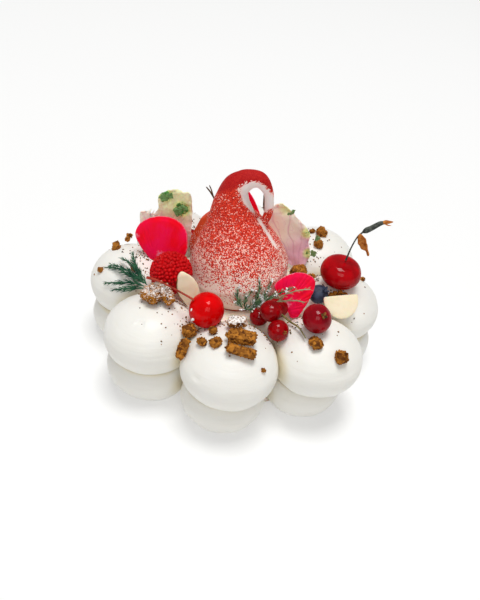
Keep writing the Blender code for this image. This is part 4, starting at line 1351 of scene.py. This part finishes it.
leaf = sheet("kale_leaf_left_blade",
             ((6.4, -21.0), (9.6, -14.7), (10.6, -7.0), (10.2, -0.8), (9.0, 8.9), (7.1, 17.0),
              (4.0, 16.9), (-0.1, 17.1), (-6.4, 13.0), (-7.5, 10.4), (-6.6, 5.8), (-8.5, 1.7),
              (-10.9, 1.0), (-13.1, 1.9), (-15.1, 0.6), (-14.7, -3.6), (-13.0, -11.5),
              (-8.2, -18.6), (0, -23.1)), (-1, -3),
             leaf_bend((0, -30), (-22, -10, 2, 12), (30, -30), ((-4.2, 13.0, 3.8, 1.0), (4.2, 8.2, 4.2, 1.0), (1.0, 11.0, 11.0, 0.42)),
                       0.35, 34), (-36.2, 9.4, 59.4), (-4, 4, -8), 0.5, KALE)
show(leaf, "kale", "kale_leaf_left")
leaf = sheet("kale_leaf_right_blade",
             ((-3.5, -18.5), (0.7, -19), (3.5, -17), (5.2, -13.3), (5.2, -9.3), (4.8, -5.4),
              (5.8, -1.8), (5.1, 1.2), (2.6, 5.3), (0, 8.9), (-1.8, 12), (-4, 15), (-6.5, 17.7),
              (-9.4, 17.2), (-14.3, 14.2), (-16.8, 7.5), (-13.8, -1.4), (-9.6, -10.8)), (-4, 0),
             leaf_bend((-2, -26), (-26, -14, -4, 6, 16), (-2, -2), ((4.6, 0.0, 3.0, 0.75), (4.8, -12.0, 3.0, 0.8), (-4.0, 15.0, 4.0, 0.5)), 0.45, 35),
             (24.4, 19.2, 55.6), (-4, -12, 10), 0.5, KALE)
show(leaf, "kale", "kale_leaf_right")
for name, centre, turn, size, seed in (
        ("left_top", (-40.0, 7.6, 73.0), (-4, 4, -8), (2.6, 2.4), 1),
        ("left_top_right", (-36.8, 7.2, 74.6), (-4, 20, -8), (2.0, 1.6), 2),
        ("left_low", (-32.6, 7.0, 67.0), (-4, 4, -8), (2.6, 3.2), 3),
        ("left_low_right", (-30.2, 7.2, 69.0), (10, 30, -8), (1.8, 1.7), 4),
        ("right_top", (19.6, 17.4, 67.8), (10, -38, 10), (2.4, 1.3), 5),
        ("right_edge", (33.6, 15.6, 56.6), (0, 10, 10), (1.5, 2.0), 6),
        ("right_low", (33.0, 14.4, 48.6), (0, -20, 10), (1.9, 2.2), 7)):
    frill("kale_frill_" + name, centre, turn, size, seed)

almond("almond_slice_left", "almond_left", (-14, -20, 20), 9.6, 17.2, 2.4, (-1.0, 0.1))
almond("almond_slice_right", "almond_right", (-46, -6, 12), 15.8, 17.6, 2.6, (0.3, 1.0), 0, 0.2)
almond("almond_slice_back", "almond_back", (96, 0, 40), 9.4, 15.2, 2.4, (-1.0, 0.0))
biscuits()
small_crumbs()
ground = speck_ground(upper_balls)
specks(ground)
bpy.data.objects.remove(ground)

dill = herb("dill_sprig", (
    ((-41.5, -21.5, 44.6), (-47.0, -18.0, 45.8), (-53.5, -13.4, 45.8), (-60.0, -9.0, 43.6)),
    ((-42.0, -21.0, 45.0), (-46.6, -15.6, 46.8), (-51.0, -11.2, 47.4), (-55.4, -7.4, 46.8)),
    ((-43.6, -19.4, 45.8), (-47.4, -14.0, 47.4), (-49.6, -9.4, 48.2), (-51.0, -5.4, 48.2)),
    ((-43.0, -21.4, 45.2), (-49.0, -18.0, 45.6), (-55.4, -13.4, 44.8), (-62.0, -8.6, 41.8)),
    ((-41.6, -22.6, 44.2), (-47.0, -21.4, 44.4), (-53.4, -19.4, 42.4), (-60.4, -16.6, 38.8)),
    ((-42.4, -23.0, 43.6), (-47.4, -23.4, 43.0), (-52.0, -22.4, 41.2), (-56.4, -20.6, 38.6))),
    51, DILL, 6.8, 3.2, 0.28, 0.9)
show(dill, "kale")
frosted = herb("frosted_sprig", (
    ((4.6, -24.2, 39.6), (3.2, -25.6, 43.0), (3.4, -25.2, 47.0), (5.6, -24.2, 51.0)),
    ((6.0, -24.0, 41.0), (7.6, -25.2, 45.6), (8.6, -24.6, 51.0), (8.4, -23.0, 56.6)),
    ((7.0, -23.8, 40.0), (9.4, -24.8, 44.4), (11.6, -23.8, 49.6), (13.6, -22.0, 56.0)),
    ((3.0, -25.0, 41.0), (7.0, -26.4, 42.6), (12.0, -25.6, 44.2), (17.0, -24.4, 45.4)),
    ((8.0, -25.0, 44.0), (13.0, -24.4, 47.6), (18.0, -23.0, 51.0), (23.0, -21.6, 53.6)),
    ((2.4, -25.0, 41.6), (0.6, -25.6, 45.0), (-0.6, -25.0, 48.4), (-0.8, -24.0, 51.6))),
    52, FROSTED, 4.8, 2.0, 0.55, 0.5)
show(frosted, "kale")
frost(frosted, "icing_sugar_on_sprig", 0.45, 53)
threads = herb("pale_threads", (
    ((16.0, -24.2, 48.6), (21.0, -22.8, 50.8), (26.0, -21.6, 52.8), (31.0, -20.6, 53.4)),
    ((16.0, -24.4, 46.6), (21.0, -23.4, 47.4), (25.6, -22.6, 47.6), (29.6, -21.8, 46.6))),
    54, fine_matter("pale_thread", "B8A88A", "8FA07C", 2.0, 0.6), 4.2, 2.0, 0.6, 1.6)
show(threads, "kale")
stem("twig_fork_long", None, [(-20.6, 6, 82.3, 0.28), (-18.6, 6, 80, 0.36), (-16.8, 6, 77.2, 0.4),
                              (-13.6, 6, 71.5, 0.45)], TWIG)
stem("twig_fork_short", None, [(-19.3, 6, 83.3, 0.24), (-18.3, 6, 81.2, 0.3), (-17.2, 6, 78.0, 0.34)],
     TWIG)

for piece in TEMPLATES:
    bpy.data.objects.remove(piece)


# Floor, light and camera

def studio_floor():
    """A seamless pale table."""
    reach = 20000.0
    points = [(-reach, -reach, 0), (reach, -reach, 0), (reach, reach, 0), (-reach, reach, 0)]
    table = make_piece("studio_floor", points, [(0, 1, 2, 3)], SUGAR)
    table.data.materials.clear()
    paper, tree, shader = new_finish("white_paper", 0.9, Emission_Strength=0.3)
    shader.inputs["Emission Color"].default_value = (1, 1, 1, 1)
    grain = add(tree, "ShaderNodeTexNoise", {"Vector": millimetres(tree), "Scale": 0.5})
    colour = add(tree, "ShaderNodeMix", {0: grain.outputs[0], 6: srgb("D2D2D1"), 7: srgb("D0D0CF")},
                 data_type="RGBA")
    tree.links.new(colour.outputs[2], shader.inputs["Base Color"])
    table.data.materials.append(paper)


def softbox(name, place, aim, width, power, colour="FFFFFF"):
    """A soft square light at a place, aimed at a point, both in millimetres."""
    lamp = bpy.data.lights.new(name, "AREA")
    lamp.size = width * MM
    lamp.energy = power
    lamp.color = srgb(colour)[:3]
    light = bpy.data.objects.new(name, lamp)
    SCENE.collection.objects.link(light)
    light.location = Vector(place) * MM
    light.rotation_euler = (Vector(aim) - Vector(place)).to_track_quat("-Z", "Y").to_euler()


def studio_camera():
    """The view: from the front and well above, turned a little about its own axis."""
    target = Vector((0.8, 0.5, 25.0)) * MM
    place = Vector((0.8, -267.24, 242.58)) * MM
    forward = (target - place).normalized()
    right = forward.cross(Vector((0, 0, 1))).normalized()
    up = right.cross(forward)
    roll = math.radians(7.5)
    across = right * math.cos(roll) + up * math.sin(roll)
    above = -right * math.sin(roll) + up * math.cos(roll)
    lens = bpy.data.cameras.new("camera")
    lens.lens = 42.18
    lens.sensor_width = 36.0
    lens.clip_start = 0.01
    lens.dof.use_dof = False
    camera = bpy.data.objects.new("camera", lens)
    SCENE.collection.objects.link(camera)
    camera.matrix_world = Matrix.Translation(place) @ Matrix(
        (across, above, -forward)).transposed().to_4x4()
    SCENE.camera = camera


studio_floor()
softbox("overhead_softbox", (80, 40, 2480), (0, 0, 20), 960, 42)
softbox("front_softbox", (0, -1720, 1800), (0, 0, 30), 1200, 13.2)
world = bpy.data.worlds.new("white_studio")
world.use_nodes = True
world.node_tree.nodes["Background"].inputs["Color"].default_value = (1, 1, 1, 1)
world.node_tree.nodes["Background"].inputs["Strength"].default_value = 0.3
SCENE.world = world
SCENE.view_settings.view_transform = "Standard"
studio_camera()
